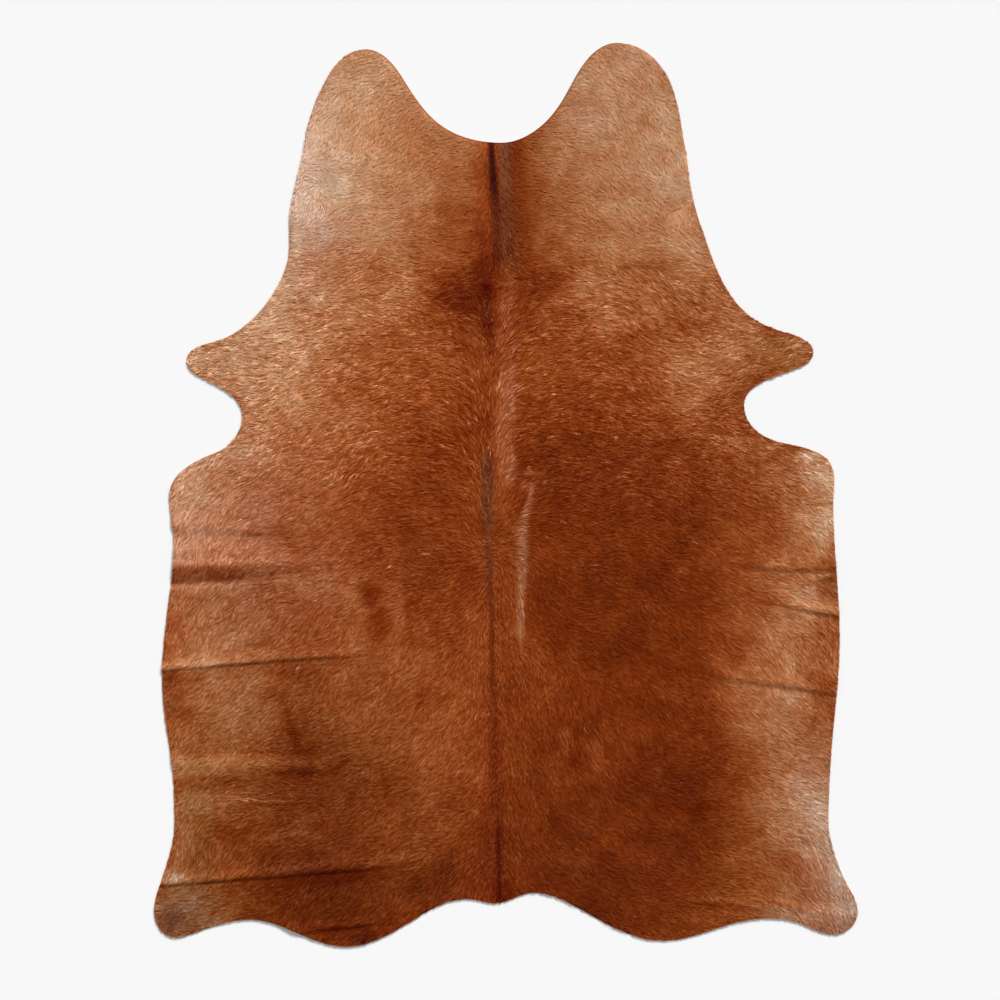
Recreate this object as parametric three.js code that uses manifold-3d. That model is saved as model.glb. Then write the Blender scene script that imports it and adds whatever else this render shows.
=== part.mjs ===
// A hair-on cowhide rug, spread flat on a floor with its hair side up.
// The whole hide is one piece: tanned, trimmed along its outline, with no lining, border or seam.
// Millimetres, +Z up, resting on z = 0. +Y runs towards the neck, and the origin is the middle.
import * as THREE from "three";
import { mergeVertices } from "three/addons/utils/BufferGeometryUtils.js";
import Module from "manifold-3d";

// Driving dimensions
const LENGTH = 2262; // neck lobe to hind edge
const WIDTH = 1760; // hind leg to hind leg
const SKIN = 2; // tanned skin
const COAT = 3; // hair lying on the skin
const SPINE_X = -22; // the hair's parting, a little left of the middle
const CURVE_STEPS = 7; // straight edges in each stretch of the outline
const COLUMN_WIDTH = 58; // greatest spacing of the sheet's grid across the hide
const ROW_HEIGHT = 82; // greatest spacing of the sheet's grid along the hide
const SPARE = 30; // how far the untrimmed sheet runs past the outline
const BLANK_DEPTH = 60; // height of the cutter that trims the sheet

const COLOURS = { coat: 0xa4602f };

// The trimmed outline, clockwise from above. Each row is a point and the way the edge runs there,
// in degrees from +X. Every lobe, notch and shank has a point at its end and where it turns.
const NECK_LEFT = [
  { x: -505, y: 879, heading: 82 },
  { x: -464, y: 1012, heading: 64 },
  { x: -355, y: 1115, heading: 2 },
  { x: -260, y: 1046, heading: -58 },
];
const NECK_NOTCH = [
  { x: -168, y: 929, heading: -38 },
  { x: -12, y: 881, heading: 0 },
  { x: 82, y: 918, heading: 38 },
  { x: 155, y: 1012, heading: 62 },
];
const NECK_RIGHT = [
  { x: 280, y: 1131, heading: 0 },
  { x: 412, y: 1029, heading: -68 },
  { x: 439, y: 924, heading: -82 },
  { x: 457, y: 812, heading: -86 },
  { x: 495, y: 652, heading: -71 },
  { x: 610, y: 447, heading: -38 },
];
const RIGHT_FORELEG = [
  { x: 710, y: 403, heading: -17 },
  { x: 769, y: 355, heading: -90 },
  { x: 735, y: 318, heading: -154 },
  { x: 596, y: 223, heading: -90 },
  { x: 643, y: 148, heading: -30 },
  { x: 735, y: 120, heading: -13 },
];
const RIGHT_FLANK = [
  { x: 809, y: 82, heading: -57 },
  { x: 819, y: -26, heading: -90 },
  { x: 835, y: -351, heading: -90 },
  { x: 822, y: -558, heading: -96 },
  { x: 807, y: -808, heading: -91 },
];
const RIGHT_HIND = [
  { x: 846, y: -959, heading: -66 },
  { x: 880, y: -1042, heading: -90 },
  { x: 820, y: -1101, heading: 180 },
  { x: 736, y: -1073, heading: 160 },
];
const RUMP = [
  { x: 530, y: -1084, heading: -161 },
  { x: 393, y: -1116, heading: 180 },
  { x: 169, y: -1028, heading: 151 },
  { x: 70, y: -996, heading: 180 },
  { x: -28, y: -1023, heading: 180 },
  { x: -95, y: -1012, heading: 180 },
  { x: -172, y: -1030, heading: -153 },
  { x: -401, y: -1131, heading: 180 },
  { x: -643, y: -1063, heading: 180 },
  { x: -760, y: -1090, heading: -163 },
];
const LEFT_HIND = [
  { x: -825, y: -1109, heading: 180 },
  { x: -880, y: -1041, heading: 90 },
  { x: -856, y: -948, heading: 72 },
  { x: -832, y: -858, heading: 80 },
];
const LEFT_FLANK = [
  { x: -830, y: -763, heading: 90 },
  { x: -848, y: -590, heading: 99 },
  { x: -860, y: -456, heading: 90 },
  { x: -843, y: -264, heading: 82 },
  { x: -830, y: -131, heading: 90 },
  { x: -842, y: -1, heading: 90 },
  { x: -755, y: 94, heading: 24 },
];
const LEFT_FORELEG = [
  { x: -695, y: 124, heading: 42 },
  { x: -660, y: 196, heading: 90 },
  { x: -760, y: 291, heading: 152 },
  { x: -799, y: 334, heading: 90 },
  { x: -695, y: 395, heading: 28 },
  { x: -584, y: 501, heading: 58 },
  { x: -543, y: 606, heading: 85 },
  { x: -541, y: 704, heading: 84 },
];
const OUTLINE = [
  ...NECK_LEFT,
  ...NECK_NOTCH,
  ...NECK_RIGHT,
  ...RIGHT_FORELEG,
  ...RIGHT_FLANK,
  ...RIGHT_HIND,
  ...RUMP,
  ...LEFT_HIND,
  ...LEFT_FLANK,
  ...LEFT_FORELEG,
];

// The folds left from packing, each a soft ridge from the flank towards the spine.
// reach is half the ridge's width, and the ridge is full height at its outer end.
const FOLDS = [
  { x: -850, y: -205, innerX: -265, innerY: -172, height: 8, reach: 34 },
  { x: -870, y: -442, innerX: -315, innerY: -400, height: 7, reach: 26 },
  { x: -880, y: -984, innerX: -228, innerY: -925, height: 7, reach: 26 },
  { x: 845, y: -192, innerX: 470, innerY: -174, height: 6, reach: 28 },
  { x: 845, y: -310, innerX: 682, innerY: -280, height: 6, reach: 24 },
  { x: 845, y: -502, innerX: 375, innerY: -442, height: 7, reach: 28 },
];

// Lines of the sheet's grid that run along the folds, as heights above the middle at the five
// stations across the hide. The grid is fine beside them and coarse between.
const STATIONS = [-900, -315, SPINE_X, 375, 900];
const FOLD_LINES = [
  { name: "waist", heights: [-208, -175, -157, -170, -195], reach: 34 },
  { name: "loin", heights: [-325, -295, -270, -262, -318], reach: 24 },
  { name: "thigh", heights: [-445, -400, -405, -442, -508], reach: 28 },
  { name: "rump", heights: [-986, -933, -915, -925, -950], reach: 26 },
];

// A stretch of the outline as a cubic whose two handles would give a circular arc.
function addStretch(shape, from, to) {
  const start = new THREE.Vector2(from.x, from.y);
  const end = new THREE.Vector2(to.x, to.y);
  const ways = [from, to].map(({ heading }) => THREE.MathUtils.degToRad(heading));
  const half = Math.cos((ways[1] - ways[0]) / 2);
  const handle = ((start.distanceTo(end) / 3) * 2) / (1 + Math.abs(half));
  const [leave, arrive] = ways.map((way) => new THREE.Vector2(Math.cos(way), Math.sin(way)));
  const first = start.clone().addScaledVector(leave, handle);
  const second = end.clone().addScaledVector(arrive, -handle);
  shape.bezierCurveTo(first.x, first.y, second.x, second.y, end.x, end.y);
}

function outlineShape() {
  const shape = new THREE.Shape();
  shape.moveTo(OUTLINE[0].x, OUTLINE[0].y);
  OUTLINE.forEach((row, i) => addStretch(shape, row, OUTLINE[(i + 1) % OUTLINE.length]));
  return shape;
}

// How high the folds lift the sheet off the floor at a point: 0 wherever it lies flat.
function liftAt(x, y) {
  let lift = 0;
  for (const fold of FOLDS) {
    const run = new THREE.Vector2(fold.innerX - fold.x, fold.innerY - fold.y);
    const away = new THREE.Vector2(x - fold.x, y - fold.y);
    const along = away.dot(run) / run.lengthSq();
    const aside = Math.abs(away.cross(run)) / run.length();
    if (aside >= fold.reach || along >= 1) continue;
    const fade = 1 - THREE.MathUtils.smoothstep(Math.max(along, 0), 0.25, 1);
    const profile = Math.cos((aside / fold.reach) * (Math.PI / 2)) ** 2;
    lift = Math.max(lift, fold.height * fade * profile);
  }
  return lift;
}

// Evenly spaced values from start to end, no further apart than spacing.
function spread(start, end, spacing) {
  const count = Math.max(1, Math.ceil(Math.abs(end - start) / spacing));
  return Array.from({ length: count + 1 }, (_, i) => start + ((end - start) * i) / count);
}

// The height of a line of heights, given at the stations, at one place across the hide.
function heightAt(heights, x) {
  const next = THREE.MathUtils.clamp(
    STATIONS.findIndex((station) => station > x),
    1,
    STATIONS.length - 1,
  );
  const share = (x - STATIONS[next - 1]) / (STATIONS[next] - STATIONS[next - 1]);
  return THREE.MathUtils.lerp(heights[next - 1], heights[next], share);
}

// The grid's rows from neck to rump, each as five heights: fine rows on both sides of every fold
// line, and evenly spread rows between one fold line and the next.
function gridRows() {
  const level = (height) => STATIONS.map(() => height);
  const bands = FOLD_LINES.map(({ heights, reach }) =>
    [1, 0.5, 0, -0.5, -1].map((side) => heights.map((height) => height + side * reach)),
  );
  const edge = LENGTH / 2 + SPARE;
  const blocks = [[level(edge)], ...bands, [level(-edge)]];
  const rows = [];
  blocks.forEach((block, i) => {
    rows.push(...block);
    if (i === blocks.length - 1) return;
    const above = block.at(-1);
    const below = blocks[i + 1][0];
    const widest = Math.max(...above.map((height, k) => height - below[k]));
    for (const share of spread(0, 1, ROW_HEIGHT / widest).slice(1, -1))
      rows.push(above.map((height, k) => THREE.MathUtils.lerp(height, below[k], share)));
  });
  return rows;
}

// The untrimmed sheet: a closed grid whose lower side lies on the floor or is lifted by a fold,
// and whose upper side is the skin's and coat's thickness above it.
function sheetGeometry() {
  const half = WIDTH / 2 + SPARE;
  const xs = spread(-half, half, COLUMN_WIDTH);
  const rows = gridRows();
  const points = [];
  for (const base of [0, SKIN + COAT])
    for (const row of rows)
      for (const x of xs) {
        const y = heightAt(row, x);
        points.push(x, y, base + liftAt(x, y));
      }
  const layer = rows.length * xs.length;
  const at = (r, c, top) => r * xs.length + c + (top ? layer : 0);
  const faces = [];
  const quad = (a, b, c, d) => faces.push(a, b, c, a, c, d);
  const lastRow = rows.length - 1;
  const lastColumn = xs.length - 1;
  for (let r = 0; r < lastRow; r++)
    for (let c = 0; c < lastColumn; c++) {
      quad(at(r, c, 1), at(r + 1, c, 1), at(r + 1, c + 1, 1), at(r, c + 1, 1));
      quad(at(r, c, 0), at(r, c + 1, 0), at(r + 1, c + 1, 0), at(r + 1, c, 0));
    }
  for (let r = 0; r < lastRow; r++) {
    quad(at(r, 0, 0), at(r + 1, 0, 0), at(r + 1, 0, 1), at(r, 0, 1));
    quad(at(r, lastColumn, 0), at(r, lastColumn, 1), at(r + 1, lastColumn, 1), at(r + 1, lastColumn, 0));
  }
  for (let c = 0; c < lastColumn; c++) {
    quad(at(0, c, 0), at(0, c, 1), at(0, c + 1, 1), at(0, c + 1, 0));
    quad(at(lastRow, c, 0), at(lastRow, c + 1, 0), at(lastRow, c + 1, 1), at(lastRow, c, 1));
  }
  const geometry = new THREE.BufferGeometry();
  geometry.setAttribute("position", new THREE.Float32BufferAttribute(points, 3));
  geometry.setIndex(faces);
  return geometry;
}

// The cutter that trims the sheet: the outline as an upright block through the sheet.
function blankGeometry() {
  const blank = new THREE.ExtrudeGeometry(outlineShape(), {
    depth: BLANK_DEPTH,
    bevelEnabled: false,
    curveSegments: CURVE_STEPS,
  });
  return blank.translate(0, 0, -BLANK_DEPTH / 2);
}

const wasm = await Module();
wasm.setup();

function solidOf(geometry) {
  geometry.deleteAttribute("normal");
  geometry.deleteAttribute("uv");
  const merged = mergeVertices(geometry);
  return new wasm.Manifold(
    new wasm.Mesh({
      numProp: 3,
      vertProperties: merged.attributes.position.array,
      triVerts: new Uint32Array(merged.index.array),
    }),
  );
}

function geometryOf(solid) {
  const { vertProperties, triVerts } = solid.getMesh();
  const geometry = new THREE.BufferGeometry();
  geometry.setAttribute("position", new THREE.BufferAttribute(vertProperties, 3));
  geometry.setIndex(new THREE.BufferAttribute(triVerts, 1));
  geometry.computeVertexNormals();
  return geometry;
}

function makeHide() {
  const solid = solidOf(sheetGeometry()).intersect(solidOf(blankGeometry()));
  const material = new THREE.MeshStandardMaterial({
    color: COLOURS.coat,
    roughness: 0.75,
    metalness: 0,
  });
  const hide = new THREE.Mesh(geometryOf(solid), material);
  hide.name = "hide";
  return hide;
}

const rug = new THREE.Group();
rug.name = "cowhide_rug";
rug.add(makeHide());

export default rug;
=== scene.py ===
"""A hair-on cowhide rug lying flat on a pale floor, hair side up, seen from straight above.

The hide is one tanned skin, trimmed along its outline. Short hair lies on it along the flow it
grew in: away from the parting over the spine, and round a whorl on the back and on each side of
the neck. Lengths are metres, +Z is up, +Y runs towards the neck and the floor is at z = 0.
Tables are in millimetres, which MM turns into metres.
"""

import logging
import math
from dataclasses import dataclass
from enum import Enum
from typing import Any

import bpy
import numpy as np
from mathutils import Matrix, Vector


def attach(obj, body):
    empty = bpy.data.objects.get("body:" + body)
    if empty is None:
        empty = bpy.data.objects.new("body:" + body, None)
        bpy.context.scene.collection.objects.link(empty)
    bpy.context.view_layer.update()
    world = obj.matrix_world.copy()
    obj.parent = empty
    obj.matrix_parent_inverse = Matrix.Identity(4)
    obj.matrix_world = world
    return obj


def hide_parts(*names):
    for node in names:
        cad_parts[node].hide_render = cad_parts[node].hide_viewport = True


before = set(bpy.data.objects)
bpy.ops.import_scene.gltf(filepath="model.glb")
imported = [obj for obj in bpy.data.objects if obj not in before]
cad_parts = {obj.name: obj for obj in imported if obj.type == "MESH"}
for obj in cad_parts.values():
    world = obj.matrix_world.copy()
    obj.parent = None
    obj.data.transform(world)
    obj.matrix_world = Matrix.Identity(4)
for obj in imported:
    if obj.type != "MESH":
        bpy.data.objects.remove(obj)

LOG = logging.getLogger("cowhide_rug")
MM = 0.001

# How fast a patch falls off past its own size, and the edge of a stripe, smudge or line.
PATCH_FALL = 0.8
EDGE_FALL = 0.7
# How many times its own size a smudge or line reaches before it is left out.
REACH = 2.2
# A distance from a line, in half widths, at which it adds nothing.
FAR_OFF = 9.0
# Keeps a length that is divided by from being nothing.
TINY = 1e-9

# A lock's four points: how far along it each lies, its side, and the painted shade at its root and
# painted highlight at its tip.
LOCK_STATIONS = (0.0, 0.4, 0.4, 1.0)
LOCK_SIDES = (0.0, 1.0, -1.0, 0.0)
LOCK_ROOT_SHADE_TIP_HIGHLIGHT = (-0.8, -0.1, -0.1, 0.8)
# The corners of a lock's two triangles, and where its points lie on its square of the map.
LOCK_CORNERS = (0, 2, 1, 1, 2, 3)
LOCK_MAP = ((0.5, 0.1), (0.85, 0.42), (0.15, 0.42), (0.5, 0.9))

# The trimmed outline, clockwise from above: x, y, and the way the edge runs, in degrees from +X.
NECK_LEFT = ((-505, 879, 82), (-464, 1012, 64), (-355, 1115, 2), (-260, 1046, -58))
NECK_NOTCH = ((-168, 929, -38), (-12, 881, 0), (82, 918, 38), (155, 1012, 62))
NECK_RIGHT = (
    (280, 1131, 0),
    (412, 1029, -68),
    (439, 924, -82),
    (457, 812, -86),
    (495, 652, -71),
    (610, 447, -38),
)
RIGHT_FORELEG = (
    (710, 403, -17),
    (769, 355, -90),
    (735, 318, -154),
    (596, 223, -90),
    (643, 148, -30),
    (735, 120, -13),
)
RIGHT_FLANK = (
    (809, 82, -57),
    (819, -26, -90),
    (835, -351, -90),
    (822, -558, -96),
    (807, -808, -91),
)
RIGHT_HIND = ((846, -959, -66), (880, -1042, -90), (820, -1101, 180), (736, -1073, 160))
RUMP = (
    (530, -1084, -161),
    (393, -1116, 180),
    (169, -1028, 151),
    (70, -996, 180),
    (-28, -1023, 180),
    (-95, -1012, 180),
    (-172, -1030, -153),
    (-401, -1131, 180),
    (-643, -1063, 180),
    (-760, -1090, -163),
)
LEFT_HIND = ((-825, -1109, 180), (-880, -1041, 90), (-856, -948, 72), (-832, -858, 80))
LEFT_FLANK = (
    (-830, -763, 90),
    (-848, -590, 99),
    (-860, -456, 90),
    (-843, -264, 82),
    (-830, -131, 90),
    (-842, -1, 90),
    (-755, 94, 24),
)
LEFT_FORELEG = (
    (-695, 124, 42),
    (-660, 196, 90),
    (-760, 291, 152),
    (-799, 334, 90),
    (-695, 395, 28),
    (-584, 501, 58),
    (-543, 606, 85),
    (-541, 704, 84),
)
OUTLINE_ROWS = (
    NECK_LEFT
    + NECK_NOTCH
    + NECK_RIGHT
    + RIGHT_FORELEG
    + RIGHT_FLANK
    + RIGHT_HIND
    + RUMP
    + LEFT_HIND
    + LEFT_FLANK
    + LEFT_FORELEG
)

# The parting over the spine, from neck to tail root: y, x.
SPINE = (
    (900, -36),
    (787, -27),
    (687, -20),
    (587, -17),
    (487, -33),
    (387, -42),
    (62, -42),
    (-88, -41),
    (-238, -35),
    (-538, -30),
    (-738, -22),
    (-888, -17),
    (-963, -18),
    (-1010, -4),
)

# How the hair lies on each side: the place along the hide, then how far the hair droops from
# straight outwards towards the tail, in degrees, at ten distances from the parting. Negative
# rises towards the neck.
FLOW_DISTANCES = (12, 60, 115, 200, 300, 400, 500, 600, 720, 820)
FLOW_LEFT = (
    (1080, 60, 45, 40, 30, 25, 30, 40, 50, 50, 50),
    (980, 80, 14, 14, 10, 50, 40, 60, 60, 60, 60),
    (880, 85, 12, 14, 40, 50, 80, 80, 60, 60, 60),
    (780, 85, 12, 18, 35, 30, 40, 60, 60, 60, 60),
    (680, 85, 10, 12, 25, 20, 5, 0, 0, 0, 0),
    (580, 80, 6, 6, 10, 5, 15, 10, 10, 10, 10),
    (480, -70, -10, 0, 0, 5, 20, 10, 5, 5, 5),
    (380, -75, -24, -2, 0, 5, 10, 0, 0, 5, 10),
    (280, -75, -26, -2, 0, 5, 10, 15, 10, 10, 10),
    (180, -80, -26, -2, 5, 5, 10, 20, 15, 20, 20),
    (80, -80, -28, -4, 0, 20, 20, 25, 20, 40, 45),
    (-20, -75, -22, 0, 0, 20, 30, 25, 30, 45, 50),
    (-110, -50, -10, 0, 0, 15, 25, 20, 40, 55, 55),
    (-210, 60, 40, 15, 5, 10, 20, 20, 30, 50, 55),
    (-310, 85, 60, 35, 40, 40, 40, 40, 50, 60, 60),
    (-410, 85, 65, 40, 45, 35, 35, 40, 45, 50, 55),
    (-510, 85, 60, 40, 35, 35, 40, 35, 35, 45, 60),
    (-610, 75, 50, 40, 35, 35, 20, 15, 25, 40, 50),
    (-710, 70, 45, 30, 30, 30, 15, 10, 10, 25, 40),
    (-810, 75, 50, 20, 20, 30, 20, 15, 15, 45, 60),
    (-910, 85, 65, 40, 20, 15, 20, 30, 40, 70, 70),
    (-1010, 90, 80, 40, 25, 35, 40, 30, 30, 10, 10),
)
FLOW_RIGHT = (
    (1080, 70, 50, 40, 40, 45, 40, 40, 40, 40, 40),
    (980, 80, 20, 10, 5, 35, 35, 40, 40, 40, 40),
    (880, 85, 8, 5, 15, 45, 60, 70, 70, 70, 70),
    (780, 85, 8, 5, 25, 45, 55, 80, 70, 70, 70),
    (680, 85, 10, 5, 25, 25, 35, 25, 20, 20, 20),
    (580, 80, 10, 0, 10, 20, 20, 20, 20, 20, 20),
    (480, -70, -22, -6, 5, 10, 30, 25, 20, 20, 20),
    (380, -75, -28, -8, 0, 5, 15, 10, 5, -5, -10),
    (280, -80, -28, -8, -3, 5, 15, 10, -5, -15, -20),
    (180, -80, -28, -6, 5, 10, 10, 5, 15, 0, 0),
    (80, -75, -28, 0, 5, 5, 10, 15, 15, 20, 25),
    (-20, -70, -45, -20, 5, 0, 15, 20, 20, 30, 40),
    (-110, -30, -20, 20, 5, 5, 15, 25, 30, 40, 55),
    (-210, 70, 75, 50, 10, 15, 30, 10, 25, 20, 15),
    (-310, 85, 85, 60, 25, 20, 50, 45, 30, 35, 30),
    (-410, 85, 75, 65, 45, 25, 25, 35, 30, 45, 65),
    (-510, 85, 75, 70, 60, 45, 50, 35, 25, 30, 40),
    (-610, 85, 70, 65, 60, 50, 50, 20, 15, 30, 40),
    (-710, 85, 65, 60, 50, 35, 35, 15, 15, 20, 30),
    (-810, 80, 65, 55, 40, 40, 15, 15, 10, 25, 40),
    (-910, 75, 55, 45, 35, 25, 20, 35, 30, 50, 65),
    (-1010, 80, 40, 25, 15, 25, 15, 20, 20, 35, 55),
)


def smooth_step(value: np.ndarray, low: float, high: float) -> np.ndarray:
    """Rises from 0 at low to 1 at high, as 3t^2 - 2t^3.

    Args:
        value: where to read the step.
        low: the value at which it leaves 0.
        high: the value at which it reaches 1.

    Returns:
        The step, from 0 to 1.
    """
    t = np.clip((value - low) / (high - low), 0.0, 1.0)
    return t * t * (3.0 - 2.0 * t)


def linear(colour: np.ndarray) -> np.ndarray:
    """A screen colour from 0 to 255 as linear light: ((c + 0.055) / 1.055) ^ 2.4.

    Args:
        colour: screen colours, of any shape.

    Returns:
        The same colours as linear light, from 0 to 1.
    """
    c = np.clip(np.asarray(colour, float) / 255.0, 0.0, 1.0)
    return np.where(c <= 0.04045, c / 12.92, ((c + 0.055) / 1.055) ** 2.4)


@dataclass(frozen=True)
class Noise:
    """Smooth seeded unevenness, from about -1 to 1, with a given spacing between its lumps."""

    cell: float
    seed: int
    side: int = 97
    shift: tuple[float, float] = (7.3, 3.1)
    gain: float = 1.5

    def at(self, x: np.ndarray, y: np.ndarray) -> np.ndarray:
        """Random values on a square lattice, blended between the four corners of each cell.

        Args:
            x: places across the hide.
            y: places along the hide.

        Returns:
            The unevenness at each place.
        """
        lattice = np.random.default_rng(self.seed).uniform(-1.0, 1.0, (self.side, self.side))
        gx = x / self.cell + self.shift[0]
        gy = y / self.cell + self.shift[1]
        ix = np.floor(gx).astype(int)
        iy = np.floor(gy).astype(int)
        fx = gx - ix
        fy = gy - iy
        fx = fx * fx * (3.0 - 2.0 * fx)
        fy = fy * fy * (3.0 - 2.0 * fy)
        left = ix % self.side
        right = (ix + 1) % self.side
        low = iy % self.side
        high = (iy + 1) % self.side
        lower = lattice[low, left] * (1.0 - fx) + lattice[low, right] * fx
        upper = lattice[high, left] * (1.0 - fx) + lattice[high, right] * fx
        return (lower * (1.0 - fy) + upper * fy) * self.gain


@dataclass(frozen=True)
class Outline:
    """The edge along which the hide was trimmed, and the rows at which its four sides meet."""

    rows: tuple[tuple[float, float, float], ...] = OUTLINE_ROWS
    steps: int = 16
    left_lobe: float = 2.0
    right_lobe: float = 8.0
    right_hind: float = 26.5
    left_hind: float = 39.5

    def loop(self, inset: float = 0.0) -> np.ndarray:
        """The closed edge, clockwise from above.

        Each stretch is a cubic whose handles are a third of its chord, times
        2 / (1 + |cos(half of its turn)|), along the ways its two ends run.

        Args:
            inset: how far inside the edge the run of points lies.

        Returns:
            Points of shape (stretches * steps, 2).
        """
        table = np.array(self.rows, float)
        start = table[:, :2] * MM
        end = np.roll(start, -1, axis=0)
        way = np.radians(table[:, 2])
        leave = np.stack([np.cos(way), np.sin(way)], axis=1)
        arrive = np.roll(leave, -1, axis=0)
        turn = np.roll(way, -1) - way
        chord = np.linalg.norm(end - start, axis=1)
        handle = (chord / 3.0 * 2.0 / (1.0 + np.abs(np.cos(turn / 2.0))))[:, None]
        first = start + leave * handle
        second = end - arrive * handle
        t = (np.arange(self.steps) / self.steps)[None, :, None]
        curve = (
            (1 - t) ** 3 * start[:, None]
            + 3 * (1 - t) ** 2 * t * first[:, None]
            + 3 * (1 - t) * t**2 * second[:, None]
            + t**3 * end[:, None]
        ).reshape(-1, 2)
        ahead = np.roll(curve, -1, axis=0) - np.roll(curve, 1, axis=0)
        ahead /= np.linalg.norm(ahead, axis=1)[:, None]
        inward = np.stack([ahead[:, 1], -ahead[:, 0]], axis=1)
        return curve + inward * inset

    def run(self, begin: float, finish: float, count: int, weights: tuple, inset: float) -> np.ndarray:
        """One side of the hide, cut from the edge between two of its rows.

        Args:
            begin: the row where the side starts, counted in rows.
            finish: the row where it ends, clockwise from begin.
            count: how many points it is divided into.
            weights: how much a step across and a step along add to the spacing.
            inset: how far inside the edge it lies.

        Returns:
            Points of shape (count, 2), evenly spread by the weighted steps.
        """
        loop = self.loop(inset)
        first = round(begin * self.steps)
        last = round(finish * self.steps)
        if last <= first:
            last += len(loop)
        points = loop[np.arange(first, last + 1) % len(loop)]
        steps = np.abs(np.diff(points, axis=0)) @ np.array(weights)
        reach = np.concatenate([[0.0], np.cumsum(steps)])
        places = np.linspace(0.0, reach[-1], count)
        return np.stack([np.interp(places, reach, points[:, k]) for k in (0, 1)], axis=1)

    def patch(self, across: int, along: int, inset: float, smoothing: int = 24) -> np.ndarray:
        """A grid that fills the outline from side to side and from neck to tail.

        Each point is the blend of the left and right sides, plus the blend of the top and bottom
        sides, less the blend of the four corners. Inner points are then evened out: each moves
        half of the way to the mean of its four neighbours.

        Args:
            across: points from left to right.
            along: points from neck to tail.
            inset: how far inside the edge the grid ends.
            smoothing: how often the inner points are evened out.

        Returns:
            Points of shape (along, across, 2).
        """
        upright = (0.4, 1.0)
        level = (1.0, 0.4)
        top = self.run(self.left_lobe, self.right_lobe, across, level, inset)
        right = self.run(self.right_lobe, self.right_hind, along, upright, inset)
        bottom = self.run(self.right_hind, self.left_hind, across, level, inset)[::-1]
        left = self.run(self.left_hind, self.left_lobe, along, upright, inset)[::-1]
        u = np.linspace(0.0, 1.0, across)[None, :, None]
        v = np.linspace(0.0, 1.0, along)[:, None, None]
        sides = (1 - u) * left[:, None] + u * right[:, None]
        ends = (1 - v) * top[None] + v * bottom[None]
        corners = (1 - v) * ((1 - u) * top[0] + u * top[-1]) + v * ((1 - u) * bottom[0] + u * bottom[-1])
        grid = sides + ends - corners
        for _ in range(smoothing):
            around = grid[:-2, 1:-1] + grid[2:, 1:-1] + grid[1:-1, :-2] + grid[1:-1, 2:]
            grid[1:-1, 1:-1] += 0.5 * (around / 4.0 - grid[1:-1, 1:-1])
        return grid


class EdgeDistance:
    """How far a place lies inside the trimmed edge, in metres, and negative outside it."""

    def __init__(self, loop: np.ndarray, cell: float = 0.006, margin: float = 0.05) -> None:
        """Measures the distance at the corners of a square lattice.

        The distance is the least one to any straight stretch of the edge, and a place is inside
        if a level line from it crosses the edge an odd number of times.

        Args:
            loop: the closed edge.
            cell: the lattice's spacing.
            margin: how far the lattice runs past the edge.
        """
        self.cell = cell
        self.low = loop.min(axis=0) - margin
        counts = np.ceil((loop.max(axis=0) + margin - self.low) / cell).astype(int) + 1
        xs = self.low[0] + np.arange(counts[0]) * cell
        ys = self.low[1] + np.arange(counts[1]) * cell
        start = loop
        step = np.roll(loop, -1, axis=0) - loop
        square = (step**2).sum(axis=1)
        self.values = np.empty((len(ys), len(xs)))
        for row, y in enumerate(ys):
            ax = xs[:, None] - start[None, :, 0]
            ay = y - start[None, :, 1]
            share = np.clip((ax * step[:, 0] + ay * step[:, 1]) / square, 0.0, 1.0)
            gap = np.hypot(ax - share * step[:, 0], ay - share * step[:, 1]).min(axis=1)
            low = start[:, 1]
            high = low + step[:, 1]
            spans = np.nonzero((low > y) != (high > y))[0]
            crossing = start[spans, 0] + (y - low[spans]) * step[spans, 0] / step[spans, 1]
            inside = (xs[:, None] < crossing[None]).sum(axis=1) % 2 == 1
            self.values[row] = np.where(inside, gap, -gap)

    def at(self, x: np.ndarray, y: np.ndarray) -> np.ndarray:
        """The distance at each place, blended between the corners of its lattice cell.

        Args:
            x: places across the hide.
            y: places along the hide.

        Returns:
            Metres inside the edge, negative outside it.
        """
        rows, columns = self.values.shape
        # Just short of the last corner, so that every place has a whole cell.
        gx = np.clip((x - self.low[0]) / self.cell, 0.0, columns - 1.001)
        gy = np.clip((y - self.low[1]) / self.cell, 0.0, rows - 1.001)
        ix = gx.astype(int)
        iy = gy.astype(int)
        fx = gx - ix
        fy = gy - iy
        lower = self.values[iy, ix] * (1 - fx) + self.values[iy, ix + 1] * fx
        upper = self.values[iy + 1, ix] * (1 - fx) + self.values[iy + 1, ix + 1] * fx
        return lower * (1 - fy) + upper * fy


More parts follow.
